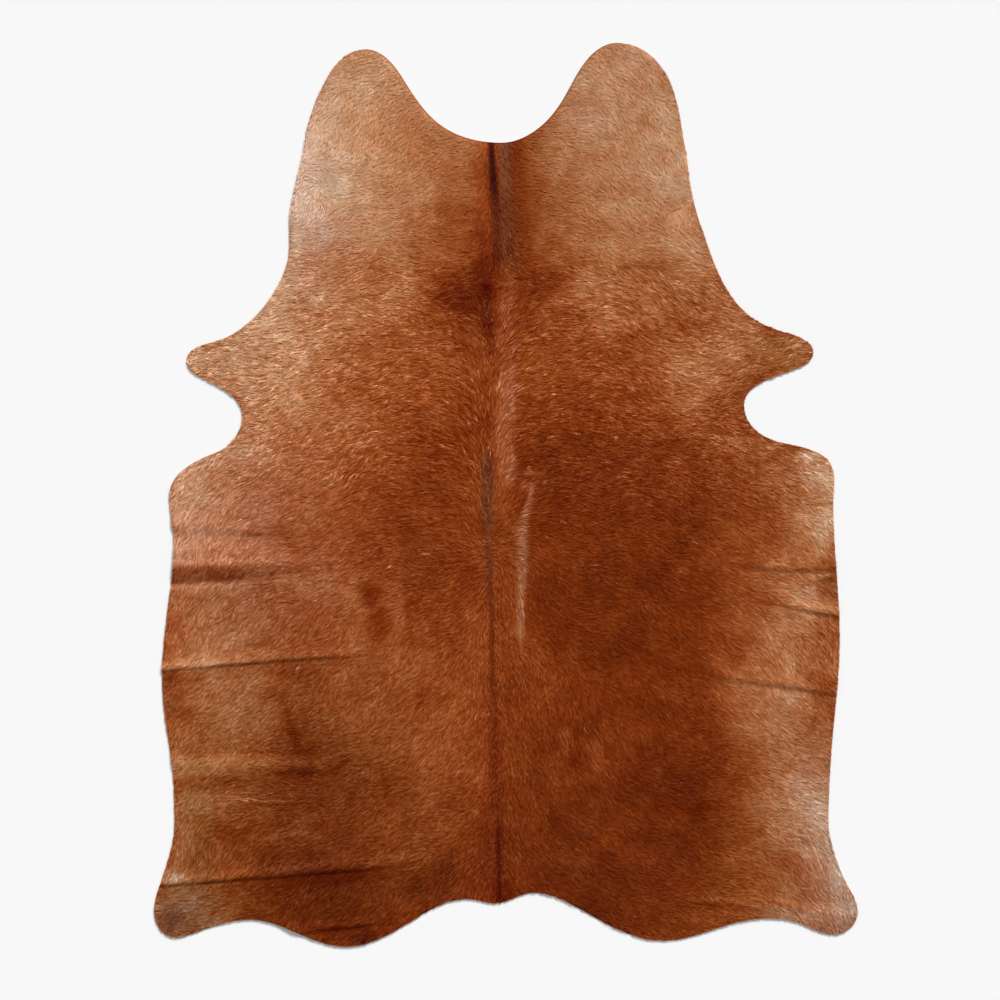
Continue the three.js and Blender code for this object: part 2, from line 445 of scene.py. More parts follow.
@dataclass(frozen=True)
class Fold:
    """A soft ridge left from packing, from the flank towards the spine, in millimetres.

    It rises slowly on the neck side of its crest and falls off faster on the tail side. hold is
    the share of its length over which it keeps its height, and bow is how far it bends aside.
    """

    outer: tuple[float, float]
    inner: tuple[float, float]
    height: float
    rise: float
    fall: float
    bow: float = 0.0
    hold: float = 0.5
    narrow: float = 1.0
    curve: float = 1.2

    def lift(self, x: np.ndarray, y: np.ndarray) -> np.ndarray:
        """The ridge's height, fading out towards the spine.

        Across it, a squared cosine rises on the neck side, and a nearly straight face falls on
        the tail side: 1 - distance ^ curve. The face's width runs to the narrow share of itself.

        Args:
            x: places across the hide, in metres.
            y: places along the hide, in metres.

        Returns:
            The height in metres, 0 beside the ridge.
        """
        start = np.array(self.outer) * MM
        run = np.array(self.inner) * MM - start
        length = np.hypot(*run)
        side = np.array([-run[1], run[0]]) / length
        side *= np.sign(side[1])
        along = ((x - start[0]) * run[0] + (y - start[1]) * run[1]) / length**2
        shape = np.clip(along, 0.0, 1.0)
        bent = self.bow * MM * 4.0 * shape * (1.0 - shape)
        aside = (x - start[0]) * side[0] + (y - start[1]) * side[1] - bent
        slow = np.cos(np.clip(aside / (self.rise * MM), 0.0, 1.0) * math.pi / 2.0) ** 2
        face = self.fall * MM * (1.0 + (self.narrow - 1.0) * shape)
        steep = 1.0 - np.clip(-aside / face, 0.0, 1.0) ** self.curve
        across = np.where(aside > 0.0, slow, steep)
        fade = (1.0 - smooth_step(along, self.hold, 1.0)) * np.where(along >= 1.0, 0.0, 1.0)
        return self.height * MM * across * fade


# The left side's folds, then the right side's.
FOLDS = (
    Fold((-850, -174), (-370, -166), 8.0, 70, 52, hold=0.25, narrow=0.35, curve=1.8),
    Fold((-870, -437), (-290, -393), 5.5, 40, 8, bow=2),
    Fold((-880, -975), (-220, -924), 5.0, 44, 8),
    Fold((-500, -1090), (-250, -1060), 3.5, 26, 10),
    Fold((-610, -676), (-390, -682), 3.0, 30, 22),
    Fold((-745, -84), (-540, -98), 3.0, 30, 16),
    Fold((845, -190), (460, -170), 4.0, 40, 11, hold=0.3),
    Fold((845, -198), (690, -228), 3.0, 12, 12),
    Fold((845, -304), (640, -262), 4.5, 34, 11),
    Fold((845, -497), (370, -433), 4.5, 40, 12, bow=3, hold=0.3),
    Fold((850, -1052), (500, -1000), 3.0, 24, 14),
    Fold((700, -1035), (340, -1000), 2.0, 20, 14),
)


@dataclass(frozen=True)
class Relief:
    """How high the hide lifts off the floor: its folds and a slight unevenness."""

    folds: tuple[Fold, ...] = FOLDS
    waves: Noise = Noise(0.17, 11)
    wave_height: float = 0.9 * MM

    def lift(self, x: np.ndarray, y: np.ndarray) -> np.ndarray:
        """The highest of the folds at each place, on top of the slight waves.

        Args:
            x: places across the hide.
            y: places along the hide.

        Returns:
            The height of the hide's under side in metres, never below the floor.
        """
        highest = np.zeros_like(x)
        for fold in self.folds:
            highest = np.maximum(highest, fold.lift(x, y))
        return highest + self.wave_height * np.clip(self.waves.at(x, y), 0.0, 1.0)


@dataclass(frozen=True)
class Whorl:
    """A place the hair turns round, in millimetres; turn is how far it leans from straight out."""

    x: float
    y: float
    reach: float
    turn: float


@dataclass(frozen=True)
class HairFlow:
    """Which way the hair lies at each place. The three sways are in degrees."""

    whorls: tuple[Whorl, ...] = (Whorl(-468, 770, 75, 55), Whorl(447, 725, 65, -55))
    whorl_pull: float = 1.6
    wander: Noise = Noise(0.055, 21)
    wander_sway: float = 9.0
    ripple: Noise = Noise(0.02, 23, 199)
    ripple_sway: float = 11.0
    drift: Noise = Noise(0.16, 22)
    drift_sway: float = 7.0

    def spine(self, y: np.ndarray) -> np.ndarray:
        """How far across the hide the parting lies at each place along it."""
        table = np.array(SPINE[::-1], float) * MM
        return np.interp(y, table[:, 0], table[:, 1])

    def droop(self, distance: np.ndarray, y: np.ndarray, table: tuple) -> np.ndarray:
        """The droop from one side's table, blended between its rows and distances.

        Args:
            distance: how far from the parting, in metres.
            y: places along the hide.
            table: the side's rows.

        Returns:
            The droop in radians.
        """
        rows = np.array(table[::-1], float)
        stations = np.array(FLOW_DISTANCES, float) * MM
        levels = rows[:, 0] * MM
        row = np.interp(y, levels, np.arange(len(levels)))
        column = np.interp(distance, stations, np.arange(len(stations)))
        low = np.minimum(row.astype(int), len(levels) - 2)
        near = np.minimum(column.astype(int), len(stations) - 2)
        fr = row - low
        fc = column - near
        angles = rows[:, 1:]
        lower = angles[low, near] * (1 - fc) + angles[low, near + 1] * fc
        upper = angles[low + 1, near] * (1 - fc) + angles[low + 1, near + 1] * fc
        return np.radians(lower * (1 - fr) + upper * fr)

    def heading(self, x: np.ndarray, y: np.ndarray) -> tuple[np.ndarray, np.ndarray]:
        """The direction from root to tip, as a unit vector.

        It is straight outwards from the parting, turned by the side's droop, then by the whorls
        near it and by a slight wandering.

        Args:
            x: places across the hide.
            y: places along the hide.

        Returns:
            The direction's two parts.
        """
        offset = x - self.spine(y)
        side = np.where(offset < 0.0, -1.0, 1.0)
        distance = np.abs(offset)
        left = self.droop(distance, y, FLOW_LEFT)
        right = self.droop(distance, y, FLOW_RIGHT)
        angle = np.where(side < 0.0, left, right)
        dx = side * np.cos(angle)
        dy = -np.sin(angle)
        for whorl in self.whorls:
            ox = x - whorl.x * MM
            oy = y - whorl.y * MM
            away = np.hypot(ox, oy) + 1e-6
            hold = self.whorl_pull * np.exp(-((away / (whorl.reach * MM)) ** 2))
            turn = math.radians(whorl.turn)
            dx = dx + hold * (ox * math.cos(turn) - oy * math.sin(turn)) / away
            dy = dy + hold * (ox * math.sin(turn) + oy * math.cos(turn)) / away
        wander = np.radians(self.wander_sway) * self.wander.at(x, y)
        sway = wander + np.radians(self.drift_sway) * self.drift.at(x, y)
        sway = sway + np.radians(self.ripple_sway) * self.ripple.at(x, y)
        length = np.hypot(dx, dy) + TINY
        dx = dx / length
        dy = dy / length
        return dx * np.cos(sway) - dy * np.sin(sway), dx * np.sin(sway) + dy * np.cos(sway)


@dataclass(frozen=True)
class Patch:
    """A soft patch of the coat, in millimetres.

    tone is 0 for dark chestnut and 1 for pale fawn, and may run a little past both. rose warms
    it towards pink, or below 0 towards orange. grey dulls it, and above 1 turns it purplish.
    """

    x: float
    y: float
    wide: float
    tall: float
    tone: float
    hold: float = 0.8
    rose: float = 0.0
    grey: float = 0.0

    def share(self, x: np.ndarray, y: np.ndarray) -> np.ndarray:
        """How much of the patch shows: hold times exp(-0.8 distance squared), in its own sizes.

        Args:
            x: places across the hide, in metres.
            y: places along the hide, in metres.

        Returns:
            The share at each place.
        """
        across = (x - self.x * MM) / (self.wide * MM)
        along = (y - self.y * MM) / (self.tall * MM)
        return self.hold * np.exp(-PATCH_FALL * (across**2 + along**2))


@dataclass(frozen=True)
class Stripe:
    """A soft stripe of the coat along a run of points, in millimetres.

    Each point is y, x and half width. It is read along y, so it runs from neck to tail.
    """

    points: tuple[tuple[float, float, float], ...]
    tone: float
    rose: float = 0.0
    grey: float = 0.0
    hold: float = 0.8
    ends: float = 30.0
    left_edge: float = 2.6
    right_edge: float = 2.6

    def share(self, x: np.ndarray, y: np.ndarray) -> np.ndarray:
        """How much of the stripe shows: hold times exp(-0.7 d ^ edge), fading at its ends.

        d is the distance from the stripe's middle line, over the half width there.

        Args:
            x: places across the hide, in metres.
            y: places along the hide, in metres.

        Returns:
            The share at each place.
        """
        table = np.array(self.points[::-1], float) * MM
        middle = np.interp(y, table[:, 0], table[:, 1])
        half = np.interp(y, table[:, 0], table[:, 2])
        offset = (x - middle) / half
        power = np.where(offset < 0.0, self.left_edge, self.right_edge)
        body = np.exp(-EDGE_FALL * np.abs(offset) ** power)
        fade = self.ends * MM
        low = smooth_step(y, table[0, 0] - fade, table[0, 0] + fade)
        high = 1.0 - smooth_step(y, table[-1, 0] - fade, table[-1, 0] + fade)
        return self.hold * body * low * high


def patches(*rows: tuple[float, ...]) -> tuple[Patch, ...]:
    """Patches from rows of x, y, wide, tall and tone, then hold, rose and grey where they matter."""
    return tuple(Patch(*row) for row in rows)


# The coat is laid down in this order: broad regions, the patches on them, smaller spots on those,
# and the stripes at the parting. Each covers a share of what is under it.
REGIONS = patches(
    (0, 850, 800, 330, 0.72, 0.9),
    (0, 150, 420, 420, 0.38, 0.7),
    (330, -450, 420, 560, 0.2, 0.8),
    (-420, -880, 380, 280, 0.22, 0.8),
)
PATCHES = patches(
    # neck
    (-352, 1012, 150, 175, 0.96),
    (-340, 812, 175, 200, 0.92),
    (-215, 912, 100, 90, 0.83),
    (-190, 737, 100, 110, 0.7),
    (-485, 825, 50, 120, 1.14),
    (-515, 675, 45, 110, 1.22),
    (-515, 560, 60, 80, 1.08),
    (-352, 550, 150, 110, 0.68),
    (-150, 712, 60, 90, 0.5),
    (285, 1037, 175, 150, 0.92),
    (372, 862, 120, 130, 0.98),
    (180, 830, 110, 130, 0.84),
    (235, 687, 130, 90, 0.82),
    (395, 700, 90, 130, 0.93),
    (485, 560, 80, 80, 0.86),
    (340, 500, 110, 90, 0.74),
    (95, 860, 45, 60, 0.62),
    (-20, 800, 55, 120, 0.12),
    (-127, 512, 88, 55, 0.13),
    (97, 542, 75, 40, 0.26),
    (190, 500, 80, 70, 0.66, 0.6),
    # shoulders and forelegs
    (-515, 370, 165, 190, 0.9),
    (-290, 412, 120, 110, 0.6),
    (-600, 350, 80, 110, 0.9),
    (-727, 337, 110, 70, 0.92),
    (-415, 110, 80, 110, 0.68),
    (310, 412, 130, 120, 0.66),
    (470, 300, 95, 110, 1.0),
    (685, 350, 100, 60, 0.72, 0.8, -0.8),
    (415, 205, 125, 85, 0.74),
    (585, 137, 120, 90, 0.58),
    (150, 270, 120, 100, 0.58),
    # back and flanks
    (-215, -62, 150, 175, 0.25),
    (-640, 37, 200, 150, 0.74, 0.8, 0.5),
    (-765, 12, 80, 110, 0.85),
    (-815, 37, 40, 100, 0.95),
    (-790, -80, 90, 110, 0.9),
    (-660, -140, 140, 70, 0.8, 0.8, 0.5),
    (-515, -262, 200, 150, 0.63, 0.8, 0.5),
    (-365, -362, 150, 150, 0.5),
    (-715, -450, 120, 230, 0.7),
    (-620, -595, 80, 105, 0.88),
    (-400, -590, 90, 80, 0.56),
    (285, -262, 225, 450, 0.2),
    (405, -170, 130, 110, 0.15),
    (335, 112, 160, 130, 0.28),
    (135, 37, 100, 160, 0.2),
    (690, 60, 80, 60, 0.66),
    (685, -362, 120, 260, 0.8, 0.8, 0.5),
    (810, 40, 55, 100, 1.14),
    (775, -62, 60, 80, 0.9),
    (822, -362, 40, 200, 0.66),
    (585, -262, 90, 180, 0.46),
    (650, -470, 80, 150, 0.68),
    (672, -690, 95, 230, 0.77),
    (-10, -200, 40, 120, 0.5),
    (85, -390, 50, 80, 0.46),
    (385, -330, 50, 60, 0.3),
    # loin, rump and hind legs
    (385, -737, 125, 112, 0.1),
    (780, -835, 85, 140, 1.18),
    (835, -1037, 50, 62, 1.1, 0.8, 0, 0.4),
    (700, -950, 100, 70, 0.56),
    (715, -1045, 95, 45, 1.0),
    (285, -962, 130, 90, 0.15),
    (485, -887, 120, 120, 0.2),
    (635, -1012, 90, 70, 0.5),
    (100, -880, 90, 130, 0.13),
    (290, -845, 60, 50, 0.32),
    (-540, -662, 125, 125, 0.2),
    (-390, -712, 125, 125, 0.3),
    (-465, -987, 175, 100, 0.06),
    (-390, -1087, 120, 50, 0.05),
    (-215, -1030, 60, 50, 0.14),
    (-740, -712, 90, 110, 0.64),
    (-827, -887, 60, 110, 0.7, 0.8, 0, 0.5),
    (-715, -980, 80, 90, 0.5),
    (-815, -1050, 70, 60, 0.6, 0.8, 0, 0.7),
    (-765, -562, 90, 110, 0.55),
    (-165, -562, 100, 300, 0.48),
    (-65, -887, 70, 120, 0.18),
)
# Smaller places, from a finger's width to a hand's, and among them the narrow dark and pale
# strokes on the back and the loin.
SPOTS = patches(
    (-335, 665, 85, 42, 0.93),
    (-545, 195, 95, 60, 0.82),
    (-105, 465, 42, 42, 0.16),
    (-415, 762, 48, 42, 1.05),
    (-310, 465, 55, 40, 0.8),
    (-215, 462, 50, 38, 0.6),
    (235, 470, 90, 45, 0.68, 0.6),
    (95, 350, 60, 60, 0.55, 0.6),
    (535, 345, 75, 45, 0.78, 0.6),
    (330, 60, 110, 45, 0.36, 0.6),
    (90, 765, 35, 50, 0.48),
    (-430, -235, 85, 38, 0.7, 0.7),
    (-190, -245, 75, 75, 0.24, 0.7),
    (-520, -440, 60, 32, 0.32, 0.7),
    (-820, -540, 28, 50, 0.34, 0.7),
    (-820, -655, 35, 50, 0.66, 0.7),
    (-120, -530, 40, 60, 0.56, 0.6),
    (-210, -640, 45, 50, 0.56, 0.6),
    (-715, -842, 52, 34, 0.22, 0.7),
    (-505, -838, 60, 30, 0.36, 0.6),
    (-320, -835, 55, 45, 0.38, 0.6),
    (-410, -942, 70, 34, 0.02, 0.7),
    (-120, -940, 45, 45, 0.1, 0.7),
    (-615, -935, 45, 32, 0.14, 0.7),
    (-215, -945, 45, 38, 0.2, 0.7),
    (-415, -840, 35, 30, 0.1, 0.6),
    (795, -165, 38, 90, 0.84, 0.7),
    (690, -335, 60, 50, 0.88, 0.7),
    (480, -445, 40, 50, 0.18, 0.7),
    (200, -1035, 90, 36, 0.05, 0.7),
    (700, -825, 55, 55, 0.92, 0.7),
    (590, -930, 65, 110, 0.5, 0.6),
    (790, -940, 40, 40, 0.86, 0.7),
    (188, -838, 40, 40, 0.1, 0.7),
    (-50, -40, 60, 100, 0.47, 0.65),
    (-85, 245, 50, 60, 0.46, 0.6),
    (57, 511, 34, 28, 0.2, 0.6),
    (-464, 949, 46, 42, 1.02, 0.7),
    (-444, 1026, 22, 26, 1.04, 0.7),
    (-239, 991, 52, 70, 0.87, 0.75),
    (152, 986, 65, 75, 0.91, 0.75),
    (357, 1084, 45, 40, 1.0, 0.8),
    (-457, 809, 48, 42, 1.06, 0.7),
    (-182, 811, 60, 80, 0.78, 0.75),
    (242, 894, 34, 34, 0.93, 0.8),
    (-377, 716, 38, 34, 1.04, 0.75),
    (-199, 656, 24, 22, 0.52, 0.75),
    (-92, 681, 36, 36, 0.34, 0.7),
    (-52, 646, 26, 26, 0.1, 0.75),
    (450, 736, 42, 55, 0.95, 0.75),
    (-572, 504, 28, 38, 1.02, 0.8),
    (-489, 624, 30, 60, 0.84, 0.7),
    (-529, 629, 13, 34, 1.2, 0.8),
    (-457, 546, 65, 45, 0.88, 0.75),
    (-242, 526, 62, 36, 0.8, 0.8),
    (140, 589, 22, 26, 0.74, 0.8),
    (237, 489, 46, 50, 0.82, 0.8),
    (290, 606, 52, 46, 0.88, 0.8),
    (500, 599, 60, 60, 0.86, 0.7),
    (-779, 351, 22, 30, 1.1, 0.85),
    (-614, 446, 75, 80, 1.02, 0.75),
    (270, 450, 70, 36, 0.76, 0.7),
    (565, 424, 62, 60, 0.84, 0.8),
    (740, 379, 28, 16, 0.88, 0.8),
    (-689, 116, 56, 50, 0.94, 0.8),
    (575, 121, 40, 14, 0.76, 0.75),
    (700, 76, 60, 28, 0.78, 0.75),
    (760, 101, 30, 13, 1.16, 0.85),
    (737, -10, 44, 44, 0.56, 0.7),
    (805, -55, 20, 30, 1.08, 0.8),
    (617, -223, 26, 28, 0.68, 0.7),
    (780, -123, 26, 50, 0.94, 0.75),
    (-567, -380, 60, 28, 0.4, 0.7),
    (755, -265, 52, 36, 0.94, 0.8),
    (-847, -465, 20, 22, 0.2, 0.75, 0, 0.8),
    (-844, -523, 18, 24, 0.28, 0.75, 0, 0.8),
    (-629, -556, 52, 34, 0.7, 0.7, 0, 0.4),
    (725, -498, 54, 56, 0.87, 0.75),
    (-752, -681, 90, 24, 0.82, 0.75, 0, -0.5),
    (-640, -673, 54, 18, 0.82, 0.75, 0, -0.5),
    (-747, -728, 40, 16, 0.3, 0.7, 0, 0.5),
    (-832, -951, 20, 14, 1.04, 0.8, 0, 1.4),
    (-762, -921, 50, 60, 0.27, 0.7, 0, 0.5),
    (-189, -973, 55, 54, -0.05, 0.75),
    (838, -955, 24, 54, 1.06, 0.85, 0, 0.8),
    (864, -1026, 18, 24, 0.96, 0.8, 0, 1.2),
    (800, -1080, 46, 16, 0.5, 0.8, 0, 1.0),
    (675, -1048, 50, 14, 0.86, 0.8, 0, 0.6),
    (-800, -1040, 60, 46, 0.66, 0.6, 0, 1.6),
    (-737, -1068, 36, 18, 0.76, 0.75, 0, 1.0),
    (-836, -1062, 26, 27, 0.22, 0.85, 0, 2.6),
    (-359, -1111, 35, 18, -0.14, 0.8),
    (127, 861, 55, 45, 0.8, 0.75),
    (-487, 911, 18, 18, 0.96, 0.7),
    (442, 804, 44, 46, 1.0, 0.75),
    (-469, 779, 40, 34, 1.12, 0.75),
    (-504, 489, 18, 18, 0.96, 0.75),
    (-377, 546, 42, 44, 0.64, 0.75),
    (-199, 571, 24, 40, 0.44, 0.75),
    (120, 524, 22, 20, 0.18, 0.75),
    (190, 526, 32, 30, 0.78, 0.75),
    (-657, 351, 24, 22, 0.98, 0.75),
    (245, 382, 58, 24, 0.4, 0.8),
    (465, 419, 55, 36, 0.44, 0.7),
    (560, 469, 24, 24, 0.55, 0.7),
    (-714, 279, 36, 40, 0.9, 0.75),
    (-552, 256, 52, 56, 0.91, 0.75),
    (-389, 254, 60, 36, 0.48, 0.75),
    (-754, 84, 18, 12, 1.0, 0.75),
    (-664, 146, 30, 26, 0.66, 0.7),
    (542, 141, 30, 16, 0.44, 0.75),
    (650, 64, 26, 32, 0.48, 0.75),
    (675, 121, 17, 9, 0.8, 0.8),
    (-534, -105, 40, 60, 0.42, 0.65),
    (780, -25, 32, 24, 0.72, 0.75),
    (752, -150, 22, 34, 0.56, 0.75),
    (807, -238, 26, 28, 0.46, 0.7, 0, 0.4),
    (-509, -383, 22, 18, 0.32, 0.7),
    (-147, -308, 34, 60, 0.26, 0.65),
    (-569, -500, 40, 16, 0.24, 0.75),
    (812, -480, 36, 20, 0.38, 0.7),
    (-702, -711, 62, 15, 0.28, 0.8),
    (705, -926, 50, 26, 0.42, 0.7),
    (747, -866, 48, 24, 0.88, 0.7),
    (837, -1073, 26, 20, 0.64, 0.85, 0, 1.0),
    (-294, 1001, 44, 40, 0.92, 0.6),
    (372, 1000, 52, 90, 0.93, 0.6),
    (-489, 819, 44, 30, 1.1, 0.7),
    (162, 559, 16, 40, 0.42, 0.7),
    (540, 514, 40, 38, 0.76, 0.7),
    (177, 424, 30, 30, 0.42, 0.7),
    (272, 414, 70, 15, 0.72, 0.7),
    (307, 476, 32, 28, 0.55, 0.7),
    (392, 366, 48, 36, 0.5, 0.45),
    (380, 412, 48, 22, 0.64, 0.5),
    (65, 849, 28, 42, 0.42, 0.6),
    (20, 551, 25, 26, 0.18, 0.6),
    (-147, -305, 44, 74, 0.24, 0.6),
    (85, 749, 42, 44, 0.56, 0.5),
    (-254, 376, 36, 36, 0.62, 0.5),
    (462, 330, 52, 80, 0.7, 0.4),
    (-549, 46, 42, 32, 0.56, 0.7),
    (740, 81, 22, 12, 0.74, 0.7),
    (805, 4, 14, 22, 1.0, 0.7),
    (647, -280, 26, 28, 0.46, 0.7),
    (-774, -518, 30, 22, 0.66, 0.7),
    (-194, -578, 32, 50, 0.38, 0.6),
    (-497, -723, 26, 26, 0.08, 0.7),
    (-249, -900, 46, 46, 0.46, 0.6),
    (822, -880, 30, 40, 1.02, 0.7, 0, 0.6),
    (292, -1078, 50, 50, 0.06, 0.65),
    (-340, -255, 20, 36, 0.38, 0.5),
    (-312, -310, 22, 34, 0.36, 0.5),
    (-324, 571, 20, 17, 0.48, 0.5),
    (-587, 446, 15, 24, 0.8, 0.5),
    (-512, 446, 30, 20, 0.7, 0.5),
    (465, 340, 38, 60, 0.82, 0.35),
    (597, 276, 18, 20, 0.66, 0.6),
    (616, 322, 34, 34, 0.52, 0.4),
    (427, 91, 19, 19, 0.6, 0.5),
    (-467, -52, 60, 34, 0.64, 0.5),
    (657, -418, 56, 28, 0.76, 0.4),
    (-427, -638, 34, 22, 0.46, 0.5),
    (-562, -746, 34, 16, 0.42, 0.5),
    (-247, -760, 40, 90, 0.46, 0.4),
    (655, -793, 56, 26, 0.76, 0.4),
    (757, -998, 25, 18, 0.76, 0.5, 0, 0.3),
    (-270, -288, 12, 56, 0.62, 0.6),
    (-242, -331, 12, 56, 0.34, 0.6),
    (-200, -413, 11, 30, 0.66, 0.6),
    (-155, -333, 13, 25, 0.3, 0.5),
    (-100, -298, 12, 26, 0.62, 0.6),
    (-95, -208, 24, 38, 0.22, 0.5),
    (-200, -492, 12, 44, 0.34, 0.6),
    (-270, -433, 32, 40, 0.6, 0.5),
    (-340, -458, 18, 15, 0.36, 0.6),
    (110, -483, 9, 30, 0.42, 0.6),
    (153, -623, 9, 28, 0.4, 0.6),
    (228, -655, 11, 44, 0.46, 0.6),
    (250, -578, 9, 36, 0.4, 0.6),
    (125, -688, 24, 38, 0.36, 0.5),
    (218, -698, 28, 24, 0.36, 0.5),
    (170, -663, 20, 28, 0.12, 0.6),
    (423, -476, 58, 40, 0.36, 0.4),
    (-507, 664, 26, 24, 1.06, 0.5),
    (-252, 749, 46, 36, 0.86, 0.5),
    (122, 739, 36, 42, 0.72, 0.5),
    (390, 911, 20, 20, 0.74, 0.5),
    (182, 416, 48, 38, 0.38, 0.4),
    (377, 409, 60, 36, 0.68, 0.4),
    (-487, 136, 38, 28, 0.52, 0.5),
    (-582, 194, 20, 32, 0.62, 0.5),
    (-342, -65, 40, 34, 0.32, 0.35),
    (-284, -5, 22, 18, 0.52, 0.5),
    (-387, -323, 34, 28, 0.64, 0.5),
    (-50, -215, 22, 105, 0.46, 0.5),
    (590, -130, 105, 38, 0.56, 0.4),
    (806, -163, 15, 27, 0.52, 0.5),
    (582, -378, 44, 46, 0.36, 0.5),
    (745, -365, 58, 21, 0.8, 0.5),
    (-772, -415, 42, 25, 0.86, 0.5),
    (707, -460, 40, 18, 0.58, 0.5),
    (610, -658, 18, 54, 0.62, 0.5),
    (795, -741, 27, 16, 0.68, 0.5),
    (722, -1026, 18, 16, 0.44, 0.5),
)
# Broad places where the hair's hue is off the usual one; only their rose and grey count.
TINTS = patches(
    (0, 230, 430, 290, 0, 1.0, 0, -0.7),
    (220, -330, 380, 330, 0, 1.0, 0, -0.25),
    (-480, -680, 330, 330, 0, 1.0, -0.4, 0.55),
    (-780, -860, 70, 240, 0, 1.0, -0.6, 0.5),
    (-420, -1000, 300, 90, 0, 1.0, -0.4, 0.5),
    (585, -975, 90, 110, 0, 1.0, -0.4),
    (-680, -150, 200, 230, 0, 1.0, 0.3, 0.4),
    (790, -880, 110, 260, 0, 1.0, 0.2, 0.5),
    (-510, 760, 70, 220, 0, 1.0, 0.6, 0.4),
)
# The stripes at the parting, from neck to tail: dark ones first, then the pale ones beside it.
STRIPES = (
    Stripe(
        ((960, 20, 16), (849, 24, 20), (786, 28, 26), (724, 32, 26), (661, 34, 34), (560, 26, 26)),
        0.22, hold=0.75,
    ),
    Stripe(
        ((930, -4, 14), (849, -4, 15), (786, -1, 15), (740, -4, 15)),
        0.47, grey=2.0, hold=0.85, ends=22,
    ),
    Stripe(
        ((745, -8, 18), (700, -6, 22), (650, -4, 24), (580, -12, 28)),
        0.28, grey=2.4, hold=0.75, ends=20,
    ),
    Stripe(
        ((930, -38, 7), (849, -36, 6), (786, -31, 8), (750, -29, 9)),
        -0.42, grey=0.5, hold=0.9, ends=16,
    ),
    Stripe(
        ((770, -29, 10), (724, -27, 10), (661, -23, 11), (600, -24, 12), (560, -34, 16)),
        -0.02, grey=0.5, hold=0.7,
    ),
    Stripe(
        (
            (610, -50, 16), (560, -58, 30), (510, -55, 30), (436, -48, 24), (370, -36, 14),
            (350, -34, 12),
        ),
        0.12, hold=0.75,
    ),
    Stripe(
        ((110, -46, 12), (60, -46, 14), (20, -44, 15), (-14, -46, 14), (-80, -46, 13)),
        0.33, grey=2.2, hold=0.75,
    ),
    Stripe(((-60, -46, 11), (-160, -42, 10), (-240, -40, 9), (-300, -38, 7)), 0.34, grey=1.8, hold=0.6),
    Stripe(((-130, -43, 4), (-190, -41, 5), (-260, -38, 5)), 0.14, grey=2.0, hold=0.6, ends=20),
    Stripe(
        ((-225, -38, 5), (-313, -37, 5), (-389, -34, 5), (-464, -33, 6), (-540, -30, 8)),
        0.04, hold=0.75,
    ),
    Stripe(
        ((-540, -30, 11), (-700, -28, 16), (-760, -26, 24), (-840, -28, 34), (-1010, -40, 44)),
        0.07, hold=0.7,
    ),
    Stripe(((-830, -19, 5), (-900, -18, 5), (-1010, -17, 6)), -0.14, hold=0.8),
    # Painted sheen: a paler, rosier band right of the parting, where the hair lies along the hide.
    Stripe(
        ((560, 8, 14), (480, 4, 18), (411, 2, 20), (361, 2, 20), (330, 4, 22)),
        0.52, rose=0.8, hold=0.8, right_edge=5.0,
    ),
    Stripe(
        ((330, 4, 22), (286, 4, 24), (211, 3, 23), (136, -9, 26), (61, 4, 24), (20, 6, 18)),
        0.66, rose=0.8, hold=0.85, right_edge=7.0,
    ),
    Stripe(
        (
            (40, 68, 5), (-13, 60, 7), (-64, 44, 10), (-88, 41, 11), (-163, 40, 14), (-238, 38, 12),
            (-313, 37, 10), (-370, 37, 9),
        ),
        0.7, rose=0.5, grey=0.6, hold=0.9, left_edge=2.4, right_edge=5.0,
    ),
)


@dataclass(frozen=True)
class Smudge:
    """A lighter or darker smudge, in millimetres, with its long side turned from +X in degrees."""

    x: float
    y: float
    long: float
    wide: float
    light: float
    turn: float = 0.0
    edge: float = 2.6

    def light_at(self, x: np.ndarray, y: np.ndarray) -> np.ndarray:
        """Screen levels added: light times exp(-0.7 distance ^ edge), 0 beyond 2.2 times its size.

        Args:
            x: places across the hide, in metres.
            y: places along the hide, in metres.

        Returns:
            The levels at each place.
        """
        added = np.zeros_like(x)
        reach = REACH * max(self.long, self.wide) * MM
        near = np.nonzero((np.abs(x - self.x * MM) < reach) & (np.abs(y - self.y * MM) < reach))
        ox = x[near] - self.x * MM
        oy = y[near] - self.y * MM
        turn = math.radians(self.turn)
        along = (ox * math.cos(turn) + oy * math.sin(turn)) / (self.long * MM)
        across = (oy * math.cos(turn) - ox * math.sin(turn)) / (self.wide * MM)
        added[near] = self.light * np.exp(-EDGE_FALL * np.hypot(along, across) ** self.edge)
        return added


